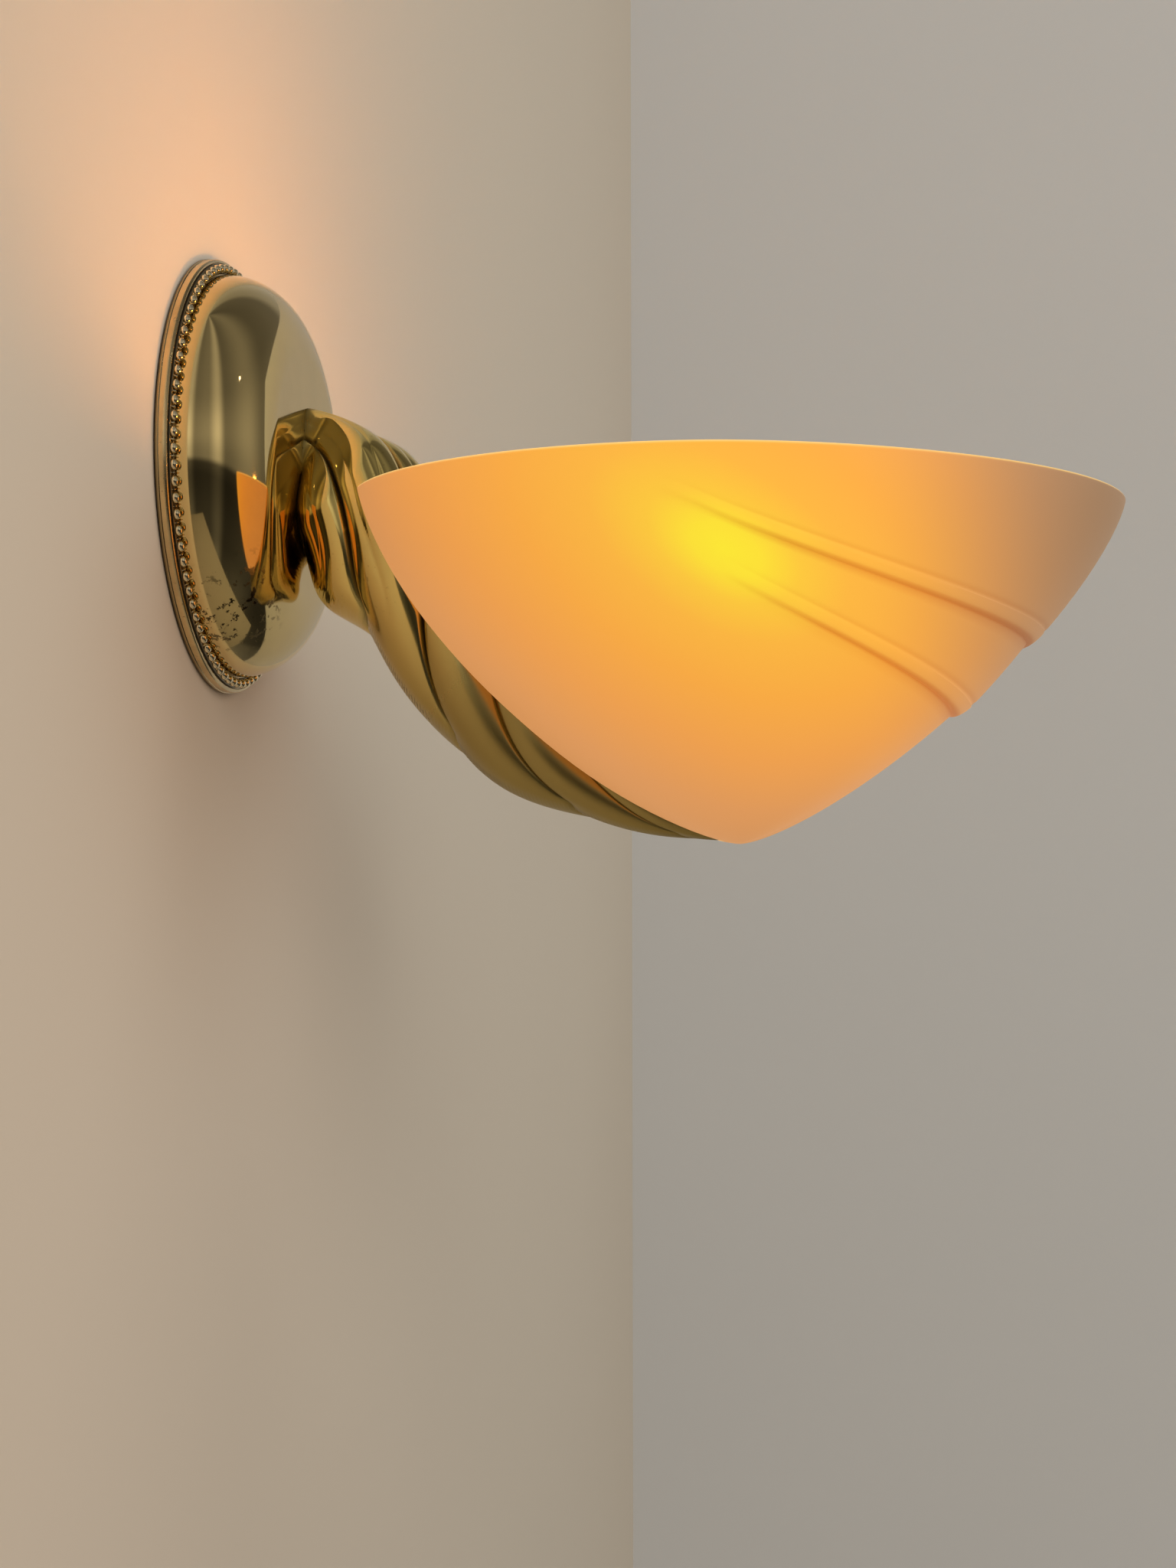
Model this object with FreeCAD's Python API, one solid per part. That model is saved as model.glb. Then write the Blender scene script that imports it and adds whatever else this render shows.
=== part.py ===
import FreeCAD, Part
import math
from FreeCAD import Placement, Rotation, Vector

# A wall sconce: a rosette on the wall, a hollow twisted horn of cast brass that
# leaves it and dives, and an open glass bowl that sits in front of the horn and
# over its lower end. A lamp holder with a bulb stands inside the bowl.
# The wall is the plane y = 0, the room is at -Y and +Z is up. Sizes are in mm.

# Fits
thread_gap = 0.05      # a threaded piece in its hole, radial
slip_gap = 0.15        # a piece that slides over another by hand, radial
casting_gap = 0.3      # the glass round the cast horn

# Screw threads and nuts
tube_thread = 9.9      # M10 fine, measured over the modelled thread
tube_bore = 7.2
nut_across_flats = 14.0
nut_height = 2.2

# Wall bracket
bracket_length = 96.0
bracket_width = 18.0
bracket_sheet = 2.0
bracket_standoff = 11.0      # wall to the back of the raised middle
bracket_middle = 34.0        # length of the raised middle
bracket_leg_run = 7.0        # how far each leg slopes along the bracket
slot_spacing = 72.0
slot_length = 12.0
slot_width = 4.6
tab_stem_width = 11.0
tab_stem_length = 9.5
tab_pad_width = 18.0

# Rosette: rim, bead ring and dome, radii from the wall axis
rim_radius = 62.3
rim_opening = 55.0
rim_edge_height = 1.2
rim_bevel = 1.3
rim_crest_height = 3.4
bead_channel_floor = 3.2
bead_channel_inner = 58.0
bead_channel_outer = 61.0
rim_shoulder_height = 4.2
rim_spigot_height = 6.5
rim_spigot_wall = 1.6
bead_band_sheet = 0.7
bead_count = 84
bead_diameter = 3.0
bead_sink = 0.2              # cut off each bead by the channel's floor
dome_sheet = 0.9
dome_height = 26.0           # wall to the flat that the horn stands on
dome_flat_radius = 34.0
dome_fullness = 2.0          # 2 is an ellipse, more is squarer
dome_skirt = 0.8             # straight edge at the dome's foot
dome_points = 13             # along the dome's curve

# Washers and nuts on the centre tube
washer_thickness = 1.2
washer_radius = 11.0
tag_sheet = 0.8
tag_radius = 7.6
tag_tab_width = 4.0
tag_tab_reach = 12.5
tube_back_stub = 0.2         # tube shown behind the rear nut
horn_thread_depth = 11.0

# Earth point on the bracket
wire_diameter = 2.2
earth_screw_place = 13.5
earth_thread = 3.9
earth_head_radius = 3.5
earth_head_height = 2.4
earth_washer_radius = 4.5
earth_washer_thickness = 0.8
earth_loop_reach = 26.0

# Terminal block
pole_pitch = 8.5
pole_count = 3
block_height = 15.0
block_depth = 9.0
block_side_wall = 2.05
sleeve_diameter = 4.4
sleeve_bore = 3.0
sleeve_recess = 0.5
terminal_thread = 2.5
terminal_head = 2.9
terminal_head_height = 1.4
terminal_screw_spacing = 7.0
block_screw_thread = 2.5
block_screw_head = 5.0
block_screw_head_height = 1.7
block_screw_recess = 0.1
screw_slot_width = 0.35      # share of the head's radius
screw_slot_depth = 0.5       # share of the head's height

# Horn: stations on its centre line as (out from the wall, up, radius)
horn_stations = [
    (14.0, 2.0, 19.4), (26.0, 0.0, 19.4), (35.0, -5.5, 20.3), (44.0, -14.0, 21.2),
    (60.0, -36.0, 20.0), (74.0, -60.0, 17.6), (92.0, -80.0, 14.5), (112.0, -92.5, 9.2),
    (130.0, -100.5, 5.4), (146.0, -105.3, 1.8),
]
flute_count = 5
flute_depth = 0.11           # share of the horn's radius
flute_start = 60.0           # degrees from the top at the foot
flute_twist = 1.8            # degrees for each mm along the horn
horn_foot_width = 0.36       # share of the full width left where the horn meets the dome
horn_foot_run = 16.0         # along the horn until it is round
horn_sections = 34
horn_wall = 5.0
horn_cavity_start = 11.0     # along the horn from its foot
horn_cavity_end = 100.0
horn_cavity_sections = 9

# Seat of the glass and of the lamp holder on the horn
seat_station = 97.0          # along the horn from its foot
holder_rise = 35.0           # degrees above the horizontal
seat_boss_radius = 8.0
seat_boss_depth = 10.0
seat_thread_left = 1.0       # thread left free under the holder's tube
lower_pad_thickness = 0.8
lower_pad_radius = 8.6
upper_pad_thickness = 1.0
upper_pad_radius = 11.0
spot_gap = 0.6               # round a pad in its spot face

# Glass bowl
shade_out = 150.0            # wall to the middle of the bowl
shade_rim_up = -11.0
shade_rim_slope = 0.03
shade_half_width = 76.0
shade_front_length = 107.0
shade_back_length = 110.0
shade_depth = 97.0
shade_plan_power = 1.85
shade_front_power = 1.32     # 2 is an ellipse, less is straighter
shade_side_power = 1.6
shade_back_power = 1.47
glass_wall = 4.0
rim_softening = 1.1
upper_step_level = 31.3      # degrees below the rim, at the front
upper_step_climb = 0.0024    # how the step climbs as it runs back, per degree squared
upper_step_reach = 98.0      # degrees round from the front where it fades out
upper_step_out = 0.008       # share of the distance from the bowl's middle
upper_step_in = 0.010
lower_step_level = 44.3
lower_step_climb = 0.0029
lower_step_reach = 88.0
lower_step_out = 0.010
lower_step_in = 0.013
step_riser = 3.0             # degrees
ring_points = 36
panel_shares = [             # how far down each outer panel its rings lie
    (0.04, 0.2, 0.4, 0.6, 0.8, 1.0), (0.0, 0.33, 0.67, 1.0), (0.0, 0.14, 0.28, 0.42, 0.56, 0.7, 0.84),
]
inner_rings = 12             # between the rim and the bowl's lowest point
inner_start_level = 1.5      # degrees below the rim

# Clamp and lamp holder, along the holder axis
clamp_disc_thickness = 1.0
clamp_disc_radius = 13.0
clamp_nut_height = 2.5
holder_cap_radius = 11.5
holder_cap_floor = 2.0
holder_cap_height = 10.7
holder_cap_wall = 1.7
holder_cap_bevel = 1.0
insert_thickness = 4.0
insert_ledge = 1.2
insert_drop = 1.0            # insert's top below the cap's edge
holder_wire_spread = 4.5
holder_screw_diameter = 2.0
holder_screw_cover = 0.4     # insert under the screw
holder_screw_recess = 0.65
holder_screw_head_height = 1.0
shell_radius = 7.15          # inside of the threaded shell
shell_sheet = 0.35
shell_height = 18.0
shell_floor_hole = 4.0
sleeve_inner_radius = 7.8
sleeve_wall = 1.6
sleeve_collar_radius = 11.4
sleeve_collar_height = 2.0
sleeve_height = 20.0
leaf_sheet = 0.3
leaf_rise = 0.4
leaf_width = 2.4
leaf_margin = 1.0            # inside the shell's floor hole
leaf_bend_start = -1.3
leaf_bend_end = 0.4

# Bulb, an E14 golf ball
bulb_contact_gap = 0.3       # tip above the leaf
bulb_ball_radius = 22.5
bulb_tip_height = 1.2
bulb_tip_radius = 3.0
bulb_tip_bevel = (0.8, 0.6)  # across, along
bulb_insulator_height = 2.5
bulb_insulator_radius = 6.2
bulb_cap_radius = 6.85
bulb_cap_sheet = 0.3
bulb_cap_height = 17.3
bulb_cap_lip = 1.0           # turned in over the insulator
bulb_neck_radius = 7.3
bulb_neck_height = 3.0
bulb_hip_radius = 8.2        # hollow curve between the neck and the ball
bulb_glass_wall = 0.8
stem_flare_height = 1.2
stem_flare_gap = 0.05
stem_rod_radius = 2.6
stem_below_middle = 12.5     # top of the stem below the ball's middle
lead_diameter = 0.7
lead_straight = 3.0
lead_bend = 3.0
lead_rise = 10.0
lead_spread = 9.0
lead_root = 1.2
filament_diameter = 0.6
filament_rise = 4.0
filament_gap = 0.1

# How the wires run
wire_radii = [6.0, 6.0, 6.0, 12.0, 12.0, 3.0, 3.0]
earth_wire_radius = 4.2
wire_clearance = 0.05        # beside the earth screw
wires_apart = 0.4            # inside the centre tube
wire_over_edge = 3.5         # beside the bracket
wire_off_wall = 1.5
wire_tube_run = 7.0          # straight past the centre tube's end
wire_seat_run = 10.0         # straight before the holder's tube
wire_spread_start = -0.3     # from the cap's floor
wire_spread_end = -0.4       # from the insert's back
earth_wire_overrun = 0.8     # under the washer


# Plain helpers

def export(name, *solids):
    shape = solids[0] if len(solids) == 1 else Part.makeCompound(list(solids))
    shape.exportStep(f"parts/{name}.step")
    volume = sum(solid.Volume for solid in shape.Solids)
    print(f"{name}: {len(shape.Solids)} solid, {volume:.1f} mm3, valid {shape.isValid()}")


def placed(shape, placement):
    moved = shape.copy()
    moved.Placement = placement.multiply(moved.Placement)
    return moved


def disc(radius, low, high, x=0.0, y=0.0):
    return Part.makeCylinder(radius, high - low, Vector(x, y, low))


def ring(outer, inner, low, high, x=0.0, y=0.0):
    return disc(outer, low, high, x, y).cut(disc(inner, low - 1, high + 1, x, y))


def box(x_range, y_range, z_range):
    corner = Vector(x_range[0], y_range[0], z_range[0])
    sizes = [pair[1] - pair[0] for pair in (x_range, y_range, z_range)]
    return Part.makeBox(*sizes, corner)


def revolved(points):
    # Turns a closed outline of (radius, height) points about the Z axis.
    outline = Part.makePolygon([Vector(r, 0, z) for r, z in points + points[:1]])
    return Part.Face(outline).revolve(Vector(0, 0, 0), Vector(0, 0, 1), 360)


def hex_nut(hole, low, high):
    corner = nut_across_flats / math.sqrt(3)
    angles = [math.radians(60 * k) for k in range(7)]
    outline = Part.makePolygon([Vector(corner * math.cos(a), corner * math.sin(a), low) for a in angles])
    prism = Part.Face(outline).extrude(Vector(0, 0, high - low))
    bevel = corner - nut_across_flats / 2
    middle = bevel * math.tan(math.radians(30))
    rounding = revolved([
        (0, low), (corner - bevel, low), (corner, low + middle),
        (corner, high - middle), (corner - bevel, high), (0, high),
    ])
    return prism.common(rounding).cut(disc(hole, low - 1, high + 1))


def slotted_screw(thread_radius, head_radius, tip, under_head, top):
    # A cheese-head screw along +Z, with a screwdriver slot in its head.
    screw = disc(thread_radius, tip, under_head).fuse(disc(head_radius, under_head, top))
    slot_wide = head_radius * screw_slot_width
    slot_deep = (top - under_head) * screw_slot_depth
    slot = box((-head_radius, head_radius), (-slot_wide / 2, slot_wide / 2), (top - slot_deep, top + 1))
    return screw.removeSplitter().cut(slot)


def wire_along(points, radii, diameter, name):
    # Straight runs joined by tangent arcs, with a round section.
    edges = []
    start = points[0]
    for before, corner, after, radius in zip(points, points[1:], points[2:], radii):
        back = (before - corner).normalize()
        ahead = (after - corner).normalize()
        half_turn = (math.pi - back.getAngle(ahead)) / 2
        reach = radius * math.tan(half_turn)
        first, last = corner + back * reach, corner + ahead * reach
        middle_way = (back + ahead).normalize()
        middle = corner + middle_way * (radius / math.cos(half_turn) - radius)
        edges.append(Part.LineSegment(start, first).toShape())
        edges.append(Part.Arc(first, middle, last).toShape())
        start = last
    edges.append(Part.LineSegment(start, points[-1]).toShape())
    path = Part.Wire(edges)
    section = Part.Wire(Part.Circle(points[0], points[1] - points[0], diameter / 2).toShape())
    solid = path.makePipeShell([section], True, False)
    expected = math.pi * diameter ** 2 / 4 * path.Length
    print(f"{name}: length {path.Length:.1f}, radii {[round(r, 1) for r in radii]}, "
          f"volume over section times length {solid.Volume / expected:.4f}")
    return solid


# The wall axis: drawn x stays x, drawn y is up, drawn z runs into the room.
wall_axis = Placement(Vector(0, 0, 0), Rotation(Vector(1, 0, 0), 90))

# Heights along the wall axis
bracket_front = bracket_standoff + bracket_sheet
rear_nut_back = bracket_standoff - nut_height
tube_back = rear_nut_back - tube_back_stub
tube_radius = tube_thread / 2
tube_hole = tube_radius + thread_gap
slip_hole = tube_radius + slip_gap
washer_top = dome_height - dome_sheet
tag_top = washer_top - washer_thickness
dome_nut_top = tag_top - tag_sheet
tube_front = dome_height + horn_thread_depth


# Wall bracket and the pieces on it

block_top_edge = -(bracket_width / 2 + tab_stem_length)
block_middle = block_top_edge - block_height / 2
block_half_width = pole_pitch * (pole_count - 1) / 2 + sleeve_diameter / 2 + block_side_wall
pole_places = [(k - (pole_count - 1) / 2) * pole_pitch for k in range(pole_count)]
pole_height = bracket_front + block_depth / 2
block_screw_x = pole_pitch / 2
terminal_screw_places = [block_middle + side * terminal_screw_spacing / 2 for side in (-1, 1)]
earth_washer_low = bracket_front + wire_diameter
earth_washer_top = earth_washer_low + earth_washer_thickness


def wall_bracket():
    turn = math.atan2(bracket_standoff, bracket_leg_run)
    shift = bracket_sheet * math.tan(turn / 2)
    end, flat = bracket_length / 2, bracket_middle / 2
    foot = flat + bracket_leg_run
    half = [(end, 0), (end, bracket_sheet), (foot + shift, bracket_sheet), (flat + shift, bracket_front)]
    back = [(flat, bracket_standoff), (foot, 0)]
    outline = half + [(-x, z) for x, z in reversed(half)] + [(-x, z) for x, z in reversed(back)] + back
    points = [Vector(x, -bracket_width / 2, z) for x, z in outline]
    strip = Part.Face(Part.makePolygon(points + points[:1])).extrude(Vector(0, bracket_width, 0))
    stem = box((-tab_stem_width / 2, tab_stem_width / 2), (block_top_edge, 0),
               (bracket_standoff, bracket_front))
    pad = box((-tab_pad_width / 2, tab_pad_width / 2), (block_top_edge - block_height, block_top_edge),
              (bracket_standoff, bracket_front))
    body = strip.fuse([stem, pad]).removeSplitter()
    holes = [
        disc(tube_hole, 0, bracket_front + 1),
        disc(earth_thread / 2 + thread_gap, 0, bracket_front + 1, earth_screw_place),
        disc(block_screw_thread / 2 + thread_gap, 0, bracket_front + 1, block_screw_x, block_middle),
    ]
    for side in (-1, 1):
        centre = side * slot_spacing / 2
        straight = (slot_length - slot_width) / 2
        slot_sides = (-slot_width / 2, slot_width / 2)
        cut = box((centre - straight, centre + straight), slot_sides, (-1, bracket_front))
        for end_x in (centre - straight, centre + straight):
            cut = cut.fuse(disc(slot_width / 2, -1, bracket_front, end_x))
        holes.append(cut)
    return body.cut(holes)


def terminal_block():
    low, high = block_top_edge - block_height, block_top_edge
    top = bracket_front + block_depth
    body = box((-block_half_width, block_half_width), (low, high), (bracket_front, top))
    cuts = []
    for x in pole_places:
        hole = Part.makeCylinder(sleeve_diameter / 2 + thread_gap, block_height + 2,
                                 Vector(x, low - 1, pole_height), Vector(0, 1, 0))
        cuts.append(hole)
        for y in terminal_screw_places:
            cuts.append(disc(terminal_head / 2 + slip_gap, pole_height, top + 1, x, y))
    head_floor = top - block_screw_head_height - block_screw_recess
    clear = block_screw_thread / 2 + slip_gap
    cuts.append(disc(clear, bracket_front - 1, top, block_screw_x, block_middle))
    cuts.append(disc(block_screw_head / 2 + slip_gap, head_floor, top + 1, block_screw_x, block_middle))
    return body.cut(cuts)


def terminal_sleeve(x):
    low = block_top_edge - block_height + sleeve_recess
    long = block_height - 2 * sleeve_recess
    start, along = Vector(x, low, pole_height), Vector(0, 1, 0)
    sleeve = Part.makeCylinder(sleeve_diameter / 2, long, start, along)
    bore = Part.makeCylinder(sleeve_bore / 2, long, start, along)
    taps = [disc(terminal_thread / 2 + thread_gap, pole_height, pole_height + sleeve_diameter, x, y)
            for y in terminal_screw_places]
    return sleeve.cut([bore] + taps)


def terminal_screw(x, y):
    tip = pole_height + wire_diameter / 2
    under_head = pole_height + sleeve_diameter / 2
    screw = slotted_screw(terminal_thread / 2, terminal_head / 2, tip, under_head,
                          under_head + terminal_head_height)
    screw.translate(Vector(x, y, 0))
    return screw


def block_screw():
    top = bracket_front + block_depth - block_screw_recess
    screw = slotted_screw(block_screw_thread / 2, block_screw_head / 2, bracket_standoff,
                          top - block_screw_head_height, top)
    screw.translate(Vector(block_screw_x, block_middle, 0))
    return screw


def earth_screw():
    screw = slotted_screw(earth_thread / 2, earth_head_radius, bracket_standoff,
                          earth_washer_top, earth_washer_top + earth_head_height)
    screw.translate(Vector(earth_screw_place, 0, 0))
    return screw


def earth_tag():
    tab = box((0, tag_tab_reach), (-tag_tab_width / 2, tag_tab_width / 2), (dome_nut_top, tag_top))
    plate = disc(tag_radius, dome_nut_top, tag_top).fuse(tab).removeSplitter()
    return plate.cut(disc(slip_hole, dome_nut_top - 1, tag_top + 1))


# Rosette

def rosette_rim():
    spigot = rim_opening + rim_spigot_wall
    return revolved([
        (rim_opening, 0), (rim_radius, 0), (rim_radius, rim_edge_height),
        (rim_radius - rim_bevel, rim_crest_height), (bead_channel_outer, rim_crest_height),
        (bead_channel_outer, bead_channel_floor), (bead_channel_inner, bead_channel_floor),
        (bead_channel_inner, rim_shoulder_height), (spigot, rim_shoulder_height),
        (spigot, rim_spigot_height), (rim_opening, rim_spigot_height),
    ])


def bead_ring():
    top = bead_channel_floor + bead_band_sheet
    band = ring(bead_channel_outer - slip_gap, bead_channel_inner + slip_gap, bead_channel_floor, top)
    middle = (bead_channel_inner + bead_channel_outer) / 2
    radius = min(bead_diameter / 2, (bead_channel_outer - bead_channel_inner) / 2 - slip_gap)
    bead = Part.makeSphere(radius, Vector(middle, 0, bead_channel_floor + radius - bead_sink))
    bead = bead.common(disc(radius + 1, bead_channel_floor, top + 2 * radius, middle))
    beads = []
    for k in range(bead_count):
        copy = bead.copy()
        copy.rotate(Vector(0, 0, 0), Vector(0, 0, 1), 360 * k / bead_count)
        beads.append(copy)
    return band.fuse(beads)


def dome_profile(inset):
    # Half section of the dome, from its foot to the flat where the horn stands.
    edge = rim_opening + rim_spigot_wall + slip_gap + dome_sheet - inset
    shoulder = rim_shoulder_height + dome_skirt
    power = 2 / dome_fullness
    points = []
    for k in range(dome_points):
        angle = math.pi / 2 * k / (dome_points - 1)
        across = (edge - dome_flat_radius) * max(math.cos(angle), 0) ** power
        rise = (dome_height - inset - shoulder) * math.sin(angle) ** power
        points.append(Vector(dome_flat_radius + across, 0, shoulder + rise))
    curve = Part.BSplineCurve()
    curve.interpolate(Points=points, InitialTangent=Vector(0, 0, 1), FinalTangent=Vector(-1, 0, 0))
    return curve.toShape(), points[0], points[-1]


def dome_cover():
    outer, outer_foot, outer_top = dome_profile(0.0)
    inner, inner_foot, inner_top = dome_profile(dome_sheet)
    hole_low = Vector(slip_hole, 0, inner_top.z)
    hole_high = Vector(slip_hole, 0, outer_top.z)
    edge_outer = Vector(outer_foot.x, 0, rim_shoulder_height)
    edge_inner = Vector(inner_foot.x, 0, rim_shoulder_height)
    corners = [
        (hole_low, hole_high), (hole_high, outer_top), (outer_foot, edge_outer),
        (edge_outer, edge_inner), (edge_inner, inner_foot), (inner_top, hole_low),
    ]
    edges = [outer, inner] + [Part.LineSegment(a, b).toShape() for a, b in corners]
    section = Part.Face(Part.Wire(Part.__sortEdges__(edges)))
    return section.revolve(Vector(0, 0, 0), Vector(0, 0, 1), 360)


# Horn

def horn_line():
    # One smooth curve through the stations, measured along the centre line from the foot.
    points = [Vector(*station) for station in horn_stations]
    lengths = [0.0]
    for a, b in zip(points, points[1:]):
        lengths.append(lengths[-1] + math.hypot(b.x - a.x, b.y - a.y))
    foot = lengths[1]
    curve = Part.BSplineCurve()
    curve.interpolate(Points=points, Parameters=[length - foot for length in lengths])
    return curve


horn_curve = horn_line()
horn_start, horn_end = horn_curve.FirstParameter, horn_curve.LastParameter


def horn_frame(along):
    # Centre, radius and the direction of the horn's top at one station.
    station = horn_curve.value(along)
    slope = horn_curve.tangent(along)[0]
    centre = Vector(0, -station.x, station.y)
    top = Vector(0, slope.y, slope.x).normalize()
    forward = Vector(0, -slope.x, slope.y).normalize()
    return centre, station.z, top, forward


def flute_share(angle):
    turn = 360 / flute_count
    phase = (angle % turn) / turn
    return 1 - flute_depth * (1 - abs(math.sin(math.pi * phase)))


def foot_share(along):
    # The horn's sides draw in towards the dome.
    share = min(max(along / horn_foot_run, 0), 1)
    return horn_foot_width + (1 - horn_foot_width) * share * (2 - share)


def fluted_section(along):
    # Each lobe between two grooves is three arcs.
    centre, radius, top, _ = horn_frame(along)
    side = Vector(-foot_share(along), 0, 0)
    twist = flute_start + flute_twist * along
    step = 360 / flute_count / 6

    def point(k):
        angle = math.radians(twist + k * step)
        reach = radius * flute_share(k * step)
        return centre + top * (reach * math.cos(angle)) + side * (reach * math.sin(angle))

    arcs = [Part.Arc(point(k), point(k + 1), point((k + 2) % (6 * flute_count))).toShape()
            for k in range(0, 6 * flute_count, 2)]
    return Part.Wire(arcs)


def stations_between(start, end, count):
    return [start + (end - start) * k / (count - 1) for k in range(count)]


def horn_tube(start, end, count, extra):
    # A smooth tube round the horn's centre line, wider than the horn by extra.
    circles = []
    for along in stations_between(start, end, count):
        centre, radius, _, forward = horn_frame(min(along, horn_end))
        centre = centre + forward * max(along - horn_end, 0)
        circles.append(Part.Wire(Part.Circle(centre, forward, radius + extra).toShape()))
    return Part.makeLoft(circles, True)


seat_centre, seat_horn_radius, seat_top, _ = horn_frame(seat_station)
seat = seat_centre + seat_top * seat_horn_radius
holder_axis = Placement(seat, Rotation(Vector(1, 0, 0), 90 - holder_rise))

# Heights along the holder axis, from the horn's seat
glass_low = lower_pad_thickness
glass_top = glass_low + glass_wall
upper_pad_top = glass_top + upper_pad_thickness
clamp_disc_top = upper_pad_top + clamp_disc_thickness
clamp_nut_top = clamp_disc_top + clamp_nut_height
cap_floor_top = clamp_nut_top + holder_cap_floor
cap_top = clamp_nut_top + holder_cap_height
insert_top = cap_top - insert_drop
insert_low = insert_top - insert_thickness
holder_tube_low = seat_thread_left - seat_boss_depth
leaf_top = insert_top + leaf_sheet + leaf_rise


def horn_arm():
    sections = [fluted_section(s) for s in stations_between(horn_start, horn_end, horn_sections)]
    casting = Part.makeLoft(sections, True)
    wide = 4 * dome_flat_radius
    behind_dome = box((-wide, wide), (-dome_height, wide), (-wide, wide))
    cavity = horn_tube(horn_cavity_start, horn_cavity_end, horn_cavity_sections, -horn_wall)
    boss = placed(disc(seat_boss_radius, -seat_boss_depth, 0), holder_axis)
    spot_face = placed(disc(lower_pad_radius + spot_gap, 0, 4 * seat_boss_depth), holder_axis)
    seat_hole = placed(disc(tube_hole, -2 * seat_boss_depth, 1), holder_axis)
    foot_hole = placed(disc(tube_hole, dome_height - 1, dome_height + 2 * horn_thread_depth), wall_axis)
    hollow = casting.cut([behind_dome, cavity])
    return hollow.fuse(boss).cut([spot_face, seat_hole, foot_hole])


# Glass bowl

def step_level(angle, level, climb, reach):
    within = min(abs(angle), reach)
    return level - climb * within ** 2


def step_fade(angle, reach):
    return max(math.cos(math.pi / 2 * min(abs(angle) / reach, 1)), 0)


def signed_power(value, power):
    return math.copysign(abs(value) ** power, value)


def bowl_point(angle, level, inset, swell):
    # angle: degrees round from the front. level: 0 at the rim, 90 at the lowest point.
    # swell: share by which the point moves away from the middle of the rim.
    ahead, aside = math.cos(math.radians(angle)), math.sin(math.radians(angle))
    length = shade_front_length if ahead > 0 else shade_back_length
    x = -(shade_half_width - inset) * signed_power(aside, 2 / shade_plan_power)
    y = -(length - inset) * signed_power(ahead, 2 / shade_plan_power)
    front, back = max(ahead, 0) ** 2, max(-ahead, 0) ** 2
    side = 1 - front - back
    power = 2 / (shade_front_power * front + shade_back_power * back + shade_side_power * side)
    spread = math.cos(math.radians(level)) ** power
    drop = (shade_depth - inset) * math.sin(math.radians(level)) ** power
    middle = Vector(0, -shade_out, shade_rim_up)
    place = Vector(x * spread, y * spread, shade_rim_slope * y * spread - drop)
    return middle + place * (1 + swell)


def bowl_ring(place):
    # A closed smooth ring through points worked out for each angle round the bowl.
    points = [place(360 * k / ring_points) for k in range(ring_points)]
    curve = Part.BSplineCurve()
    curve.interpolate(Points=points, PeriodicFlag=True)
    return Part.Wire(curve.toShape())


def bowl_bottom(inset):
    return Part.Vertex(bowl_point(0, 90, inset, 0))


def outer_ring(panel, share):
    # Three panels lie one over the other like boards. Each one stands out at its
    # lower edge and starts again further in, under the panel above.
    def place(angle):
        turn = angle if angle <= 180 else 360 - angle
        upper = step_level(turn, upper_step_level, upper_step_climb, upper_step_reach)
        lower = step_level(turn, lower_step_level, lower_step_climb, lower_step_reach)
        upper_fade, lower_fade = step_fade(turn, upper_step_reach), step_fade(turn, lower_step_reach)
        bounds = [0, upper, lower, 90]
        tucked = [0, -upper_step_in * upper_fade, -lower_step_in * lower_fade]
        flared = [upper_step_out * upper_fade, lower_step_out * lower_fade, 0]
        start = bounds[panel] + (step_riser if panel else 0)
        level = start + (bounds[panel + 1] - start) * share
        swell = tucked[panel] + (flared[panel] - tucked[panel]) * share
        return bowl_point(angle, level, 0, swell)
    return bowl_ring(place)


def outer_bowl():
    rings = [bowl_ring(lambda angle: bowl_point(angle, 0, rim_softening, 0))]
    rings += [outer_ring(panel, share) for panel, shares in enumerate(panel_shares) for share in shares]
    return Part.makeLoft(rings + [bowl_bottom(0)], True, True)


def inner_bowl():
    lift = Vector(0, 0, 2 * glass_wall)
    soft = glass_wall - rim_softening
    rings = [bowl_ring(lambda angle: bowl_point(angle, 0, soft, 0) + lift)]
    rings.append(bowl_ring(lambda angle: bowl_point(angle, 0, soft, 0)))
    for k in range(inner_rings - 1):
        level = inner_start_level + (90 - inner_start_level) * k / inner_rings
        rings.append(bowl_ring(lambda angle, level=level: bowl_point(angle, level, glass_wall, 0)))
    return Part.makeLoft(rings + [bowl_bottom(glass_wall)], True, True)


def glass_shade():
    groove = horn_tube(0, horn_end + casting_gap, horn_sections, casting_gap)
    cover_end = horn_end + casting_gap + glass_wall
    groove_cover = horn_tube(0, cover_end, horn_sections, casting_gap + glass_wall)
    inside = inner_bowl().cut(groove_cover)
    bowl = outer_bowl().cut(groove).cut(inside)
    seat_disc = placed(disc(clamp_disc_radius, glass_low, glass_top), holder_axis)
    under_seat = placed(disc(lower_pad_radius + spot_gap, -seat_boss_depth, glass_low), holder_axis)
    over_seat = placed(disc(clamp_disc_radius + spot_gap, glass_top, 5 * glass_top), holder_axis)
    hole = placed(disc(slip_hole, 0, glass_top + 1), holder_axis)
    return bowl.fuse(seat_disc).cut([under_seat, over_seat, hole, groove])


# Lamp holder

def holder_cap():
    inner = holder_cap_radius - holder_cap_wall
    ledge = inner - insert_ledge
    return revolved([
        (tube_hole, clamp_nut_top), (holder_cap_radius - holder_cap_bevel, clamp_nut_top),
        (holder_cap_radius, clamp_nut_top + holder_cap_bevel),
        (holder_cap_radius, cap_top), (inner, cap_top), (inner, insert_low), (ledge, insert_low),
        (ledge, cap_floor_top), (tube_hole, cap_floor_top),
    ])


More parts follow.
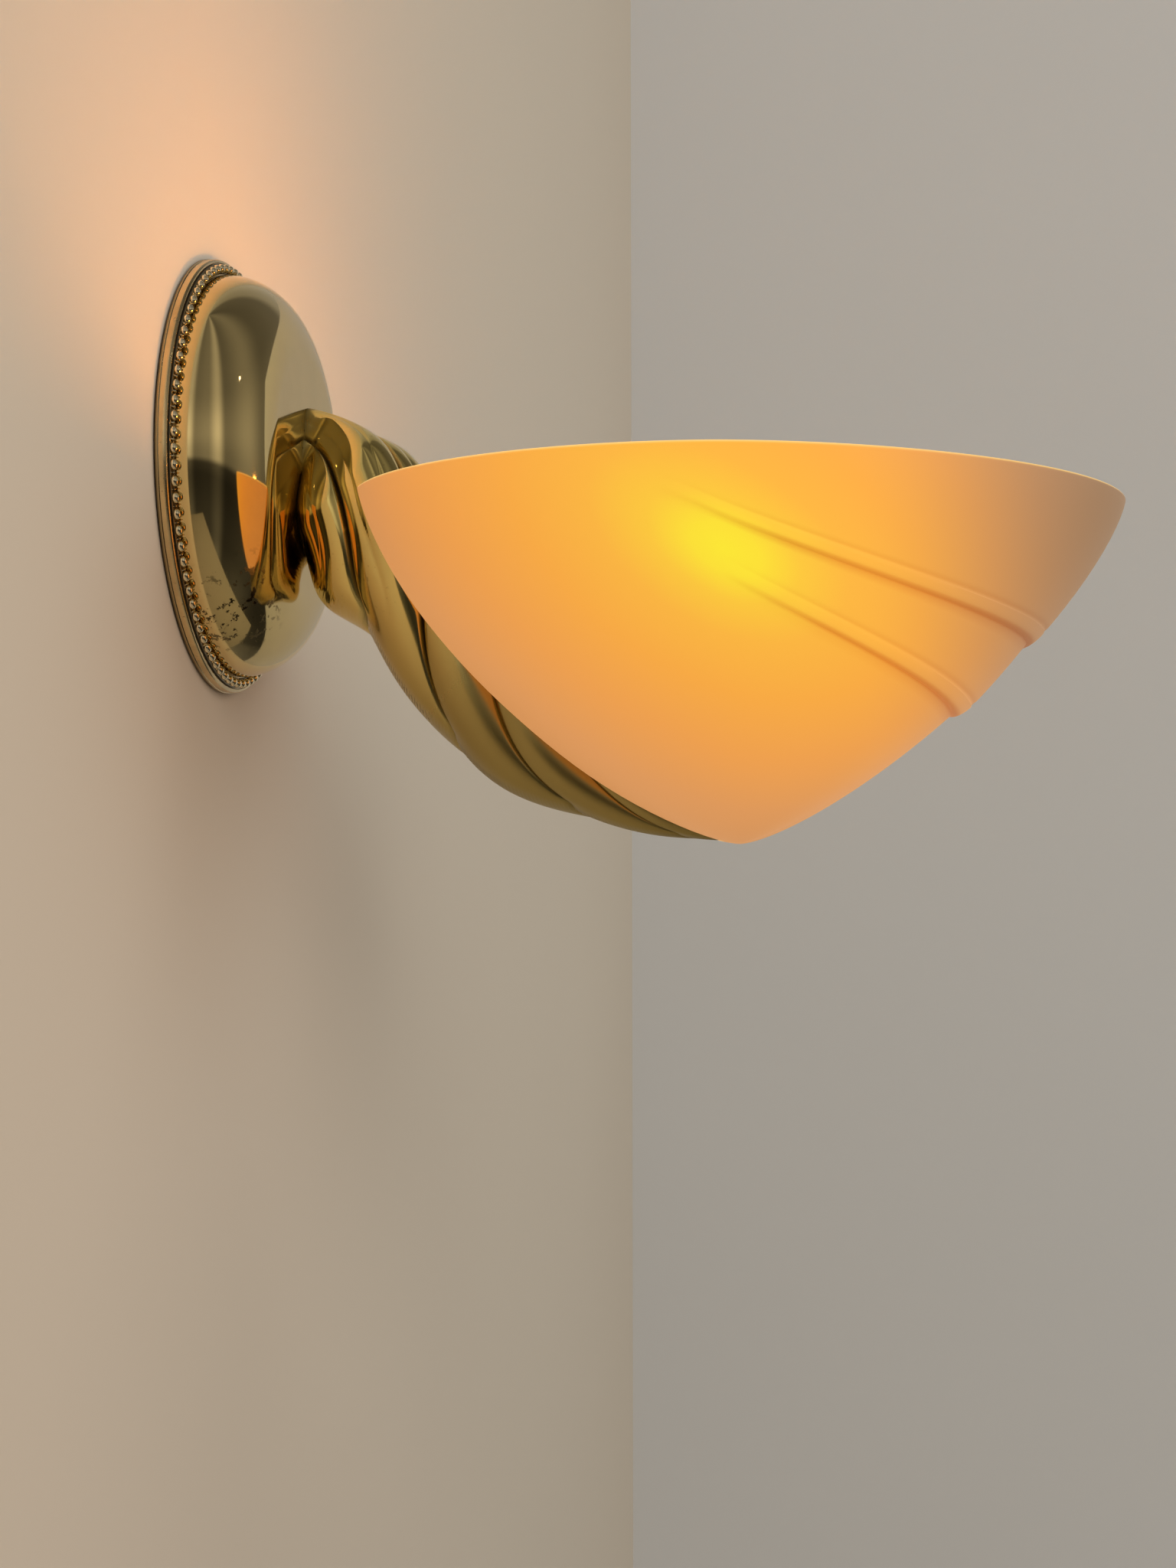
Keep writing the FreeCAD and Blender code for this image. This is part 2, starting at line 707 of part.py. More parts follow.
insert_radius = holder_cap_radius - holder_cap_wall - slip_gap
wire_hole = wire_diameter / 2 + slip_gap
holder_wire_end = insert_low + insert_thickness / 2
holder_screw_level = insert_low + holder_screw_diameter / 2 + holder_screw_cover
holder_screw_root = holder_wire_spread + wire_diameter / 2 + slip_gap
holder_screw_end = insert_radius - holder_screw_recess


def holder_insert():
    body = disc(insert_radius, insert_low, insert_top)
    cuts = []
    for side in (-1, 1):
        cuts.append(disc(wire_hole, insert_low - 1, holder_wire_end, side * holder_wire_spread))
        start = Vector(side * holder_wire_spread, 0, holder_screw_level)
        tapped = holder_screw_diameter / 2 + thread_gap
        cuts.append(Part.makeCylinder(tapped, insert_radius, start, Vector(side, 0, 0)))
    return body.cut(cuts)


def holder_screw(side):
    screw = slotted_screw(holder_screw_diameter / 2, holder_screw_diameter / 2, holder_screw_root,
                          holder_screw_end - holder_screw_head_height, holder_screw_end)
    screw.rotate(Vector(0, 0, 0), Vector(0, 1, 0), 90 * side)
    screw.translate(Vector(0, 0, holder_screw_level))
    return screw


def centre_contact():
    # A bent leaf: its foot on the insert, its free end under the bulb's tip.
    end = shell_floor_hole - leaf_margin
    low = [(-end, insert_top), (leaf_bend_start, insert_top),
           (leaf_bend_end, insert_top + leaf_rise), (end, insert_top + leaf_rise)]
    high = [(x, z + leaf_sheet) for x, z in reversed(low)]
    points = [Vector(x, -leaf_width / 2, z) for x, z in low + high]
    return Part.Face(Part.makePolygon(points + points[:1])).extrude(Vector(0, leaf_width, 0))


def screw_shell():
    outer = shell_radius + shell_sheet
    floor_top = insert_top + shell_sheet
    top = insert_top + shell_height
    return revolved([
        (shell_floor_hole, insert_top), (outer, insert_top), (outer, top), (shell_radius, top),
        (shell_radius, floor_top), (shell_floor_hole, floor_top),
    ])


def holder_sleeve():
    inner, outer = sleeve_inner_radius, sleeve_inner_radius + sleeve_wall
    spigot = holder_cap_radius - holder_cap_wall - slip_gap
    collar_top = cap_top + sleeve_collar_height
    shoulder_top = collar_top + (sleeve_collar_radius - outer)
    top = cap_top + sleeve_height
    return revolved([
        (inner, insert_top), (spigot, insert_top), (spigot, cap_top), (sleeve_collar_radius, cap_top),
        (sleeve_collar_radius, collar_top), (outer, shoulder_top), (outer, top), (inner, top),
    ])


# Bulb

bulb_start = leaf_top + bulb_contact_gap
insulator_low = bulb_start + bulb_tip_height
cap_low = insulator_low + bulb_insulator_height
neck_low = cap_low + bulb_cap_height
neck_top = neck_low + bulb_neck_height
hip_reach = (bulb_ball_radius + bulb_hip_radius) ** 2 - (bulb_neck_radius + bulb_hip_radius) ** 2
ball_middle = neck_top + math.sqrt(hip_reach)
stem_top = ball_middle - stem_below_middle
lead_top = stem_top + lead_rise


def bulb_outline(inset):
    # From the neck's edge, through a hollow curve that meets the ball, to the top.
    neck, ball, hip = bulb_neck_radius - inset, bulb_ball_radius - inset, bulb_hip_radius + inset
    hip_centre = Vector(neck + hip, 0, neck_top)
    ball_centre = Vector(0, 0, ball_middle)
    meeting = hip_centre + (ball_centre - hip_centre).normalize() * hip
    half = (Vector(-1, 0, 0) + (meeting - hip_centre).normalize()).normalize()
    foot, hip_start = Vector(neck, 0, neck_low), Vector(neck, 0, neck_top)
    side = ball_centre + Vector(ball, 0, 0)
    top = ball_centre + Vector(0, 0, ball)
    edges = [
        Part.LineSegment(foot, hip_start).toShape(),
        Part.Arc(hip_start, hip_centre + half * hip, meeting).toShape(),
        Part.Arc(meeting, side, top).toShape(),
    ]
    return edges, foot, top


def bulb_glass():
    outer, outer_foot, outer_top = bulb_outline(0)
    inner, inner_foot, inner_top = bulb_outline(bulb_glass_wall)
    ends = [(outer_foot, inner_foot), (outer_top, inner_top)]
    closing = [Part.LineSegment(a, b).toShape() for a, b in ends]
    section = Part.Face(Part.Wire(Part.__sortEdges__(outer + inner + closing)))
    return section.revolve(Vector(0, 0, 0), Vector(0, 0, 1), 360)


def bulb_cap():
    inner, lip = bulb_cap_radius - bulb_cap_sheet, bulb_insulator_radius - bulb_cap_lip
    return revolved([
        (lip, cap_low), (bulb_insulator_radius, cap_low),
        (bulb_cap_radius, cap_low + bulb_cap_lip), (bulb_cap_radius, neck_low), (inner, neck_low),
        (inner, cap_low + bulb_cap_lip + bulb_cap_sheet), (lip, cap_low + bulb_cap_sheet),
    ])


def bulb_tip():
    return revolved([
        (0, bulb_start), (bulb_tip_radius - bulb_tip_bevel[0], bulb_start),
        (bulb_tip_radius, bulb_start + bulb_tip_bevel[1]),
        (bulb_tip_radius, insulator_low), (0, insulator_low),
    ])


def bulb_insulator():
    return revolved([
        (0, insulator_low), (bulb_tip_radius, insulator_low),
        (bulb_insulator_radius, cap_low), (0, cap_low),
    ])


def bulb_stem():
    flare = bulb_neck_radius - bulb_glass_wall - stem_flare_gap
    flare_top = neck_low + stem_flare_height
    return revolved([
        (0, neck_low), (flare, neck_low), (flare, flare_top),
        (stem_rod_radius, flare_top + flare - stem_rod_radius), (stem_rod_radius, stem_top), (0, stem_top),
    ])


def bulb_lead(side):
    points = [Vector(side * lead_root, 0, stem_top), Vector(side * lead_root, 0, stem_top + lead_straight),
              Vector(side * lead_spread, 0, lead_top)]
    return wire_along(points, [lead_bend], lead_diameter, "lead")


def bulb_filament():
    level = lead_top + filament_diameter / 2 + filament_gap
    ends = [Vector(side * lead_spread, 0, level) for side in (-1, 1)]
    crown = Vector(0, 0, lead_top + filament_rise)
    arc = Part.Arc(ends[0], crown, ends[1])
    direction = arc.tangent(arc.FirstParameter)[0]
    section = Part.Wire(Part.Circle(ends[0], direction, filament_diameter / 2).toShape())
    return Part.Wire(arc.toShape()).makePipeShell([section], True, False)


# Wires

def lamp_wire(side, name):
    # From its terminal up, back behind the bracket, out through the centre tube,
    # down the hollow horn and up the holder's tube to its screw.
    pole = side * pole_pitch
    close = side * (wire_diameter + wires_apart) / 2
    entry = bracket_width / 2 + wire_over_edge
    behind = wire_diameter / 2 + wire_off_wall
    on_wall = [Vector(pole, block_middle, pole_height), Vector(pole, -entry, pole_height),
               Vector(pole, -entry, behind), Vector(close, 0, behind),
               Vector(close, 0, tube_front + wire_tube_run)]
    spread = side * holder_wire_spread
    on_holder = [Vector(close, 0, holder_tube_low - wire_seat_run),
                 Vector(close, 0, cap_floor_top + wire_spread_start),
                 Vector(spread, 0, insert_low + wire_spread_end), Vector(spread, 0, holder_wire_end)]
    points = [wall_axis.multVec(p) for p in on_wall] + [holder_axis.multVec(p) for p in on_holder]
    return wire_along(points, wire_radii, wire_diameter, name)


def earth_wire():
    tag_level = tag_top - wire_diameter / 2
    seat_level = bracket_front + wire_diameter / 2
    beside = -(earth_thread / 2 + wire_diameter / 2 + wire_clearance)
    end = earth_screw_place - earth_head_radius + earth_wire_overrun
    points = [Vector(tag_tab_reach, 0, tag_level), Vector(earth_loop_reach, 0, tag_level),
              Vector(earth_loop_reach, beside, seat_level), Vector(end, beside, seat_level)]
    on_wall = [wall_axis.multVec(p) for p in points]
    return wire_along(on_wall, [earth_wire_radius] * 2, wire_diameter, "earth_wire")


# Export: rosette, bracket and wiring

export("rosette_rim", placed(rosette_rim(), wall_axis))
export("bead_ring", placed(bead_ring(), wall_axis))
export("dome_cover", placed(dome_cover(), wall_axis))
export("wall_bracket", placed(wall_bracket(), wall_axis))
centre_tube = ring(tube_radius, tube_bore / 2, tube_back, tube_front)
export("centre_tube", placed(centre_tube, wall_axis))
rear_nut = hex_nut(tube_hole, rear_nut_back, bracket_standoff)
front_nut = hex_nut(tube_hole, bracket_front, bracket_front + nut_height)
export("bracket_nuts", placed(rear_nut, wall_axis), placed(front_nut, wall_axis))
export("dome_washer", placed(ring(washer_radius, slip_hole, tag_top, washer_top), wall_axis))
export("dome_nut", placed(hex_nut(tube_hole, dome_nut_top - nut_height, dome_nut_top), wall_axis))
export("earth_tag", placed(earth_tag(), wall_axis))
export("earth_screw", placed(earth_screw(), wall_axis))
earth_washer = ring(earth_washer_radius, earth_thread / 2 + slip_gap, earth_washer_low, earth_washer_top,
                    earth_screw_place)
export("earth_washer", placed(earth_washer, wall_axis))
export("earth_wire", earth_wire())
export("terminal_block", placed(terminal_block(), wall_axis))
export("terminal_sleeves", *[placed(terminal_sleeve(x), wall_axis) for x in pole_places])
screws = [terminal_screw(x, y) for x in pole_places for y in terminal_screw_places]
export("terminal_screws", *[placed(screw, wall_axis) for screw in screws])
export("block_screw", placed(block_screw(), wall_axis))
export("live_wire", lamp_wire(1, "live_wire"))
export("neutral_wire", lamp_wire(-1, "neutral_wire"))

# Export: horn, glass and its clamp

export("horn_arm", horn_arm())
export("shade_pad_lower", placed(ring(lower_pad_radius, slip_hole, 0, glass_low), holder_axis))
export("glass_shade", glass_shade())
export("shade_pad_upper", placed(ring(upper_pad_radius, slip_hole, glass_top, upper_pad_top), holder_axis))
clamp_disc = ring(clamp_disc_radius, slip_hole, upper_pad_top, clamp_disc_top)
export("shade_clamp_disc", placed(clamp_disc, holder_axis))
export("shade_clamp_nut", placed(hex_nut(tube_hole, clamp_disc_top, clamp_nut_top), holder_axis))

# Export: lamp holder

export("holder_tube", placed(ring(tube_radius, tube_bore / 2, holder_tube_low, cap_floor_top), holder_axis))
export("holder_cap", placed(holder_cap(), holder_axis))
export("holder_insert", placed(holder_insert(), holder_axis))
export("holder_terminals", *[placed(holder_screw(side), holder_axis) for side in (-1, 1)])
export("centre_contact", placed(centre_contact(), holder_axis))
export("screw_shell", placed(screw_shell(), holder_axis))
export("holder_sleeve", placed(holder_sleeve(), holder_axis))

# Export: bulb

export("bulb_tip", placed(bulb_tip(), holder_axis))
export("bulb_insulator", placed(bulb_insulator(), holder_axis))
export("bulb_cap", placed(bulb_cap(), holder_axis))
export("bulb_glass", placed(bulb_glass(), holder_axis))
export("bulb_stem", placed(bulb_stem(), holder_axis))
export("bulb_leads", *[placed(bulb_lead(side), holder_axis) for side in (-1, 1)])
export("bulb_filament", placed(bulb_filament(), holder_axis))

travel = holder_axis.Rotation.multVec(Vector(0, 0, 1))
print("holder axis", [round(v, 5) for v in travel], "seat", [round(v, 3) for v in seat])
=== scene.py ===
import math
import bpy
import numpy as np
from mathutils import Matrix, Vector
from mathutils.kdtree import KDTree


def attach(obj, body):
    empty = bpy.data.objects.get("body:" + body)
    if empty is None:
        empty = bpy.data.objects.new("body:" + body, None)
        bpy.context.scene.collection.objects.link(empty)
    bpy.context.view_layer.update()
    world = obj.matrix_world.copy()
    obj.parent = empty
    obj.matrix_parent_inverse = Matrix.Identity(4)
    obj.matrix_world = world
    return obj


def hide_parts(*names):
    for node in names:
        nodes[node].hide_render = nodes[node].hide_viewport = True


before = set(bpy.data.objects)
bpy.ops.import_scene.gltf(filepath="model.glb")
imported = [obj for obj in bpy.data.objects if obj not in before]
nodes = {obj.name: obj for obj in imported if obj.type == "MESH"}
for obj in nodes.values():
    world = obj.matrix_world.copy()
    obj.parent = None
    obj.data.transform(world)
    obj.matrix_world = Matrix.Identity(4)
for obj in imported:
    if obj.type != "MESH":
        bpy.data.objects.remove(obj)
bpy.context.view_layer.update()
mm = 0.001
mergeWithin = 2e-6   # metres
print("frame loaded:", len(nodes), "nodes")

# The wall is the plane y = 0, the room is at -Y and +Z is up. Dictionaries are in mm and degrees.

wallAxis = {"origin": Vector((0, 0, 0)), "along": Vector((0, -1, 0)), "up": Vector((0, 0, 1))}


def deselectAll():
    bpy.ops.object.select_all(action="DESELECT")


def pick(obj):
    deselectAll()
    obj.select_set(True)
    bpy.context.view_layer.objects.active = obj


def newObject(name):
    # What the last operator added, under its name.
    obj = bpy.context.object
    obj.name = name
    return obj


def shadeSmooth(obj, degrees):
    pick(obj)
    bpy.ops.object.shade_smooth_by_angle(angle=math.radians(degrees))


def startEditing(obj):
    pick(obj)
    bpy.ops.object.mode_set(mode="EDIT")
    bpy.ops.mesh.select_all(action="SELECT")


def fixNormals(obj, fillHoles=False):
    startEditing(obj)
    bpy.ops.mesh.remove_doubles(threshold=mergeWithin)
    if fillHoles:
        bpy.ops.mesh.select_all(action="DESELECT")
        bpy.ops.mesh.select_mode(type="EDGE")
        bpy.ops.mesh.select_non_manifold(extend=False, use_wire=False, use_multi_face=False,
                                         use_non_contiguous=False, use_verts=False)
        bpy.ops.mesh.edge_face_add()
        bpy.ops.mesh.select_mode(type="VERT")
        bpy.ops.mesh.select_all(action="SELECT")
    bpy.ops.mesh.normals_make_consistent(inside=False)
    bpy.ops.object.mode_set(mode="OBJECT")


def cleanPlace(obj):
    # The finished piece sits at the origin, unscaled, with its place in its mesh.
    pick(obj)
    bpy.ops.object.transform_apply(location=True, rotation=True, scale=True)


def markVertices(obj, name, values):
    obj.data.attributes.new(name, "FLOAT", "POINT").data.foreach_set("value", values)


def combine(obj, other, operation="DIFFERENCE"):
    modifier = obj.modifiers.new("combine", "BOOLEAN")
    modifier.operation = operation
    modifier.object = other
    modifier.solver = "MANIFOLD"
    pick(obj)
    bpy.ops.object.modifier_apply(modifier="combine")
    bpy.data.objects.remove(other)


def rolledSheet(name, columns, rows, place):
    # A grid rolled into a tube or a bowl and closed at its ends: each of its vertices is placed by formula.
    deselectAll()
    bpy.ops.mesh.primitive_grid_add(x_subdivisions=columns, y_subdivisions=rows, size=2)
    obj = newObject(name)
    for vertex in obj.data.vertices:
        column = round((vertex.co.x + 1) / 2 * columns)
        row = round((vertex.co.y + 1) / 2 * rows)
        vertex.co = place(column % columns, row) * mm
    fixNormals(obj, fillHoles=True)
    return obj


def axisPoint(axis, radius, height):
    across = axis["along"].cross(axis["up"])
    return axis["origin"] + (across * radius + axis["along"] * height) * mm


def spun(name, axis, outline, steps):
    # A point is extruded along the half outline of (radius, height), then spun about the axis.
    deselectAll()
    bpy.ops.mesh.primitive_plane_add(size=mm, location=(0, 0, 0))
    obj = newObject(name)
    bpy.ops.object.mode_set(mode="EDIT")
    bpy.ops.mesh.merge(type="CENTER")
    place = axisPoint(axis, *outline[0])
    bpy.ops.transform.translate(value=place)
    closed = outline if outline[0][0] == 0 and outline[-1][0] == 0 else outline + outline[:1]
    for radius, height in closed[1:]:
        target = axisPoint(axis, radius, height)
        bpy.ops.mesh.extrude_region_move(TRANSFORM_OT_translate={"value": target - place})
        place = target
    bpy.ops.mesh.select_all(action="SELECT")
    bpy.ops.mesh.spin(steps=steps, angle=math.tau, center=axis["origin"], axis=axis["along"])
    bpy.ops.object.mode_set(mode="OBJECT")
    fixNormals(obj)
    return obj


rodSides = 64


def rod(name, axis, radius, low, high):
    deselectAll()
    middle = axis["origin"] + axis["along"] * ((low + high) / 2 * mm)
    turn = axis["along"].to_track_quat("Z", "Y").to_euler()
    bpy.ops.mesh.primitive_cylinder_add(vertices=rodSides, radius=radius * mm, depth=(high - low) * mm,
                                        location=middle, rotation=turn)
    obj = newObject(name)
    cleanPlace(obj)
    return obj


def arcPoints(centre, radius, start, end, count):
    # Points of an arc in the (radius, height) plane, angles in degrees.
    angles = [math.radians(start + (end - start) * k / (count - 1)) for k in range(count)]
    return [(centre[0] + radius * math.cos(a), centre[1] + radius * math.sin(a)) for a in angles]


def smoothStep(low, high, value):
    share = min(max((value - low) / (high - low), 0), 1)
    return share * share * (3 - 2 * share)


def naturalSpline(places, values):
    # A smooth curve through the values, bending freely at its two ends.
    count = len(places)
    gaps = np.diff(places)
    system = np.eye(count)
    right = np.zeros((count, values.shape[1]))
    for k in range(1, count - 1):
        system[k, k - 1:k + 2] = gaps[k - 1], 2 * (gaps[k - 1] + gaps[k]), gaps[k]
        right[k] = 6 * ((values[k + 1] - values[k]) / gaps[k] - (values[k] - values[k - 1]) / gaps[k - 1])
    bend = np.linalg.solve(system, right)

    def at(place):
        k = min(max(int(np.searchsorted(places, place)) - 1, 0), count - 2)
        a, b, gap = places[k + 1] - place, place - places[k], gaps[k]
        value = (bend[k] * a ** 3 + bend[k + 1] * b ** 3) / (6 * gap)
        value = value + (values[k] / gap - bend[k] * gap / 6) * a
        value = value + (values[k + 1] / gap - bend[k + 1] * gap / 6) * b
        slope = (bend[k + 1] * b ** 2 - bend[k] * a ** 2) / (2 * gap)
        slope = slope + (values[k + 1] - values[k]) / gap - (bend[k + 1] - bend[k]) * gap / 6
        return value, slope
    return at


# Effects that several materials share

def setInputs(tree, node, inputs):
    # Each input is a value or another node's output.
    for socket, source in inputs.items():
        if isinstance(source, bpy.types.NodeSocket):
            tree.links.new(source, node.inputs[socket])
        else:
            node.inputs[socket].default_value = source


def addNode(tree, kind, inputs=None, **settings):
    node = tree.nodes.new("ShaderNode" + kind)
    for name, value in settings.items():
        setattr(node, name, value)
    setInputs(tree, node, inputs or {})
    return node


def calculate(tree, operation, *sources, **settings):
    return addNode(tree, "Math", dict(enumerate(sources)), operation=operation, **settings).outputs[0]


def vectorMath(tree, operation, *sources):
    node = addNode(tree, "VectorMath", dict(enumerate(sources)), operation=operation)
    return node.outputs["Value" if operation in ("LENGTH", "DISTANCE") else "Vector"]


def remap(tree, value, low, high, newLow=0.0, newHigh=1.0, **settings):
    return addNode(tree, "MapRange", {"Value": value, "From Min": low, "From Max": high, "To Min": newLow,
                                      "To Max": newHigh}, **settings).outputs[0]


def blendColours(tree, share, first, second):
    node = addNode(tree, "Mix", {"Factor": share, "A": first, "B": second}, data_type="RGBA")
    return node.outputs["Result"]


def rampOf(tree, share, stops, interpolation="LINEAR"):
    # Stops are (place, colour).
    node = addNode(tree, "ValToRGB", {"Fac": share})
    ramp = node.color_ramp
    ramp.interpolation = interpolation
    while len(ramp.elements) < len(stops):
        ramp.elements.new(0.5)
    for element, (stop, colour) in zip(ramp.elements, stops):
        element.position = stop
        element.color = (*colour, 1)
    return node.outputs["Color"]


def noise(tree, place, scale, detail, roughness=0.5):
    return addNode(tree, "TexNoise", {"Vector": place, "Scale": scale, "Detail": detail,
                                      "Roughness": roughness}).outputs["Fac"]


def objectPlace(tree):
    return addNode(tree, "TexCoord").outputs["Object"]


def axesOf(tree, vector):
    return addNode(tree, "SeparateXYZ", {0: vector}).outputs


def newGroup(name, inputs, outputs):
    tree = bpy.data.node_groups.new(name, "ShaderNodeTree")
    for label, kind in inputs:
        tree.interface.new_socket(name=label, in_out="INPUT", socket_type="NodeSocket" + kind)
    for label, kind in outputs:
        tree.interface.new_socket(name=label, in_out="OUTPUT", socket_type="NodeSocket" + kind)
    return tree, tree.nodes.new("NodeGroupInput").outputs, tree.nodes.new("NodeGroupOutput")


wear = {   # noises: scale and detail; clouds: detail and roughness; rim and bead: mm out from the wall
    "cloudNoise": (5.0, 0.6), "clouds": (0.45, 0.75), "pitNoise": (900.0, 2.0), "pits": (0.66, 0.74),
    "lineStretch": (40.0, 900.0, 40.0), "lineNoise": (3.0, 3.0), "recessRoughness": 0.45, "bumpStrength": 0.5,
    "wallDark": 0.95, "rimDark": (0.0, 1.2), "beadDark": (3.7, 4.3),
}


def metalFinishGroup():
    # Colour, roughness and height of a metal with cloudy tarnish, dark recesses, pits and hairlines; the
    # Recess mask also carries painted shade, as at the horn's foot.
    tree, given, result = newGroup(
        "metalFinish",
        [("Tint", "Color"), ("Tarnish And Shade", "Color"), ("Recess", "Float"), ("Cloud Scale", "Float"),
         ("Cloud Amount", "Float"), ("Pit Amount", "Float"), ("Roughness", "Float"), ("Hairlines", "Float")],
        [("Color", "Color"), ("Roughness", "Float"), ("Height", "Float")])
    place = objectPlace(tree)
    stretched = addNode(tree, "Mapping", {"Vector": place, "Scale": wear["lineStretch"]}).outputs[0]
    clouds = remap(tree, noise(tree, place, given["Cloud Scale"], *wear["cloudNoise"]), *wear["clouds"])
    pits = remap(tree, noise(tree, place, *wear["pitNoise"]), *wear["pits"])
    cloudShare = calculate(tree, "MULTIPLY", clouds, given["Cloud Amount"])
    pitShare = calculate(tree, "MULTIPLY", pits, given["Pit Amount"])
    lineShare = calculate(tree, "MULTIPLY", noise(tree, stretched, *wear["lineNoise"]), given["Hairlines"])
    dark = calculate(tree, "MAXIMUM", cloudShare, pitShare)
    recessed = calculate(tree, "MAXIMUM", dark, given["Recess"], use_clamp=True)
    dulled = calculate(tree, "MULTIPLY", recessed, wear["recessRoughness"])
    rough = calculate(tree, "ADD", given["Roughness"], dulled)
    setInputs(tree, result, {
        "Color": blendColours(tree, recessed, given["Tint"], given["Tarnish And Shade"]),
        "Roughness": calculate(tree, "ADD", rough, lineShare, use_clamp=True),
        "Height": calculate(tree, "SUBTRACT", lineShare, pitShare)})
    return tree


grainLook = {"fineDetail": 2.0, "broadNoise": (4.0, 0.55), "mottle": (0.35, 0.65), "bumpStrength": 0.4}


def grainGroup():
    # A fine even grain for moulded, ceramic and frosted surfaces: two mixed colours and a height.
    tree, given, result = newGroup(
        "fineGrain",
        [("Light", "Color"), ("Dark", "Color"), ("Scale", "Float"), ("Mottle Scale", "Float"),
         ("Contrast", "Float")],
        [("Color", "Color"), ("Height", "Float")])
    place = objectPlace(tree)
    broad = noise(tree, place, given["Mottle Scale"], *grainLook["broadNoise"])
    share = calculate(tree, "MULTIPLY", remap(tree, broad, *grainLook["mottle"]), given["Contrast"])
    setInputs(tree, result, {
        "Color": blendColours(tree, share, given["Light"], given["Dark"]),
        "Height": noise(tree, place, given["Scale"], grainLook["fineDetail"])})
    return tree


metalFinish = metalFinishGroup()
fineGrain = grainGroup()


def startMaterial(name):
    material = bpy.data.materials.new(name)
    material.use_nodes = True
    tree = material.node_tree
    tree.nodes.clear()
    surface = addNode(tree, "BsdfPrincipled")
    addNode(tree, "OutputMaterial", {"Surface": surface.outputs[0]})
    return material, tree, surface


def addBump(tree, surface, height, distance, strength):
    bump = addNode(tree, "Bump", {"Height": height, "Distance": distance * mm, "Strength": strength})
    tree.links.new(bump.outputs[0], surface.inputs["Normal"])


metalLooks = {   # tint, tarnish and shade colour, cloud scale, cloud amount, pits, roughness, hairlines, bump
    "oldBrass": [(0.74, 0.56, 0.29), (0.016, 0.010, 0.005), 70.0, 0.25, 0.4, 0.14, 0.06, 0.01],
    "beadBrass": [(0.95, 0.80, 0.52), (0.010, 0.007, 0.004), 90.0, 0.10, 0.1, 0.08, 0.02, 0.003],
    "mirrorBrass": [(0.76, 0.575, 0.255), (0.030, 0.020, 0.008), 55.0, 0.08, 0.0, 0.05, 0.02, 0.004],
    "castBrass": [(0.84, 0.63, 0.21), (0.020, 0.011, 0.003), 45.0, 0.12, 0.25, 0.075, 0.03, 0.008],
    "plainBrass": [(0.62, 0.47, 0.20), (0.12, 0.08, 0.03), 120.0, 0.30, 0.3, 0.24, 0.15, 0.02],
    "holderBrass": [(0.60, 0.44, 0.18), (0.10, 0.06, 0.025), 140.0, 0.25, 0.3, 0.20, 0.12, 0.02],
    "zincSteel": [(0.62, 0.63, 0.64), (0.22, 0.21, 0.20), 180.0, 0.45, 0.4, 0.30, 0.15, 0.02],
    "shellMetal": [(0.66, 0.65, 0.62), (0.22, 0.20, 0.17), 200.0, 0.30, 0.2, 0.22, 0.12, 0.02],
    "capMetal": [(0.70, 0.70, 0.69), (0.25, 0.24, 0.22), 260.0, 0.25, 0.2, 0.18, 0.10, 0.02],
    "solder": [(0.52, 0.52, 0.53), (0.20, 0.19, 0.18), 400.0, 0.40, 0.3, 0.38, 0.10, 0.03],
    "leadMetal": [(0.55, 0.50, 0.42), (0.18, 0.15, 0.11), 300.0, 0.30, 0.0, 0.30, 0.10, 0.01],
}


def metalMaterial(name, recess):
    tint, tarnishAndShade, cloudScale, cloudAmount, pitAmount, roughness, hairlines, bump = metalLooks[name]
    material, tree, surface = startMaterial(name)
    finish = addNode(tree, "Group", {
        "Tint": (*tint, 1), "Tarnish And Shade": (*tarnishAndShade, 1), "Recess": recess(tree) if recess else 0.0,
        "Cloud Scale": cloudScale, "Cloud Amount": cloudAmount, "Pit Amount": pitAmount,
        "Roughness": roughness, "Hairlines": hairlines}, node_tree=metalFinish).outputs
    setInputs(tree, surface, {"Base Color": finish["Color"], "Roughness": finish["Roughness"],
                              "Metallic": 1.0})
    addBump(tree, surface, finish["Height"], bump, wear["bumpStrength"])
    return material


plainLooks = {   # light, dark, grain scale, mottle scale, contrast, roughness, bump
    "softPad": [(0.80, 0.79, 0.74), (0.62, 0.61, 0.56), 1500.0, 120.0, 0.7, 0.65, 0.05],
    "ceramic": [(0.80, 0.78, 0.72), (0.70, 0.67, 0.60), 900.0, 90.0, 0.6, 0.30, 0.02],
    "sleeveCard": [(0.82, 0.80, 0.74), (0.72, 0.69, 0.60), 1200.0, 60.0, 0.6, 0.50, 0.03],
    "blockPlastic": [(0.72, 0.71, 0.66), (0.62, 0.61, 0.56), 1400.0, 100.0, 0.5, 0.42, 0.02],
    "insulatorGlass": [(0.03, 0.028, 0.03), (0.10, 0.07, 0.06), 900.0, 200.0, 0.6, 0.12, 0.01],
    "brownWire": [(0.16, 0.065, 0.028), (0.11, 0.045, 0.02), 900.0, 150.0, 0.6, 0.42, 0.02],
    "blueWire": [(0.03, 0.13, 0.42), (0.02, 0.09, 0.30), 900.0, 150.0, 0.6, 0.42, 0.02],
}


def grained(tree, light, dark, scale, mottleScale, contrast):
    return addNode(tree, "Group", {"Light": (*light, 1), "Dark": (*dark, 1), "Scale": scale,
                                   "Mottle Scale": mottleScale, "Contrast": contrast},
                   node_tree=fineGrain).outputs


def plainMaterial(name):
    light, dark, scale, mottleScale, contrast, roughness, bump = plainLooks[name]
    material, tree, surface = startMaterial(name)
    grain = grained(tree, light, dark, scale, mottleScale, contrast)
    setInputs(tree, surface, {"Base Color": grain["Color"], "Roughness": roughness})
    addBump(tree, surface, grain["Height"], bump, grainLook["bumpStrength"])
    return material


# The horn's darkening: painted shade at its foot, darker creases and a duller tip.
def hornDarkeningOf(tree):
    return addNode(tree, "Attribute", attribute_name="hornDarkening").outputs["Fac"]


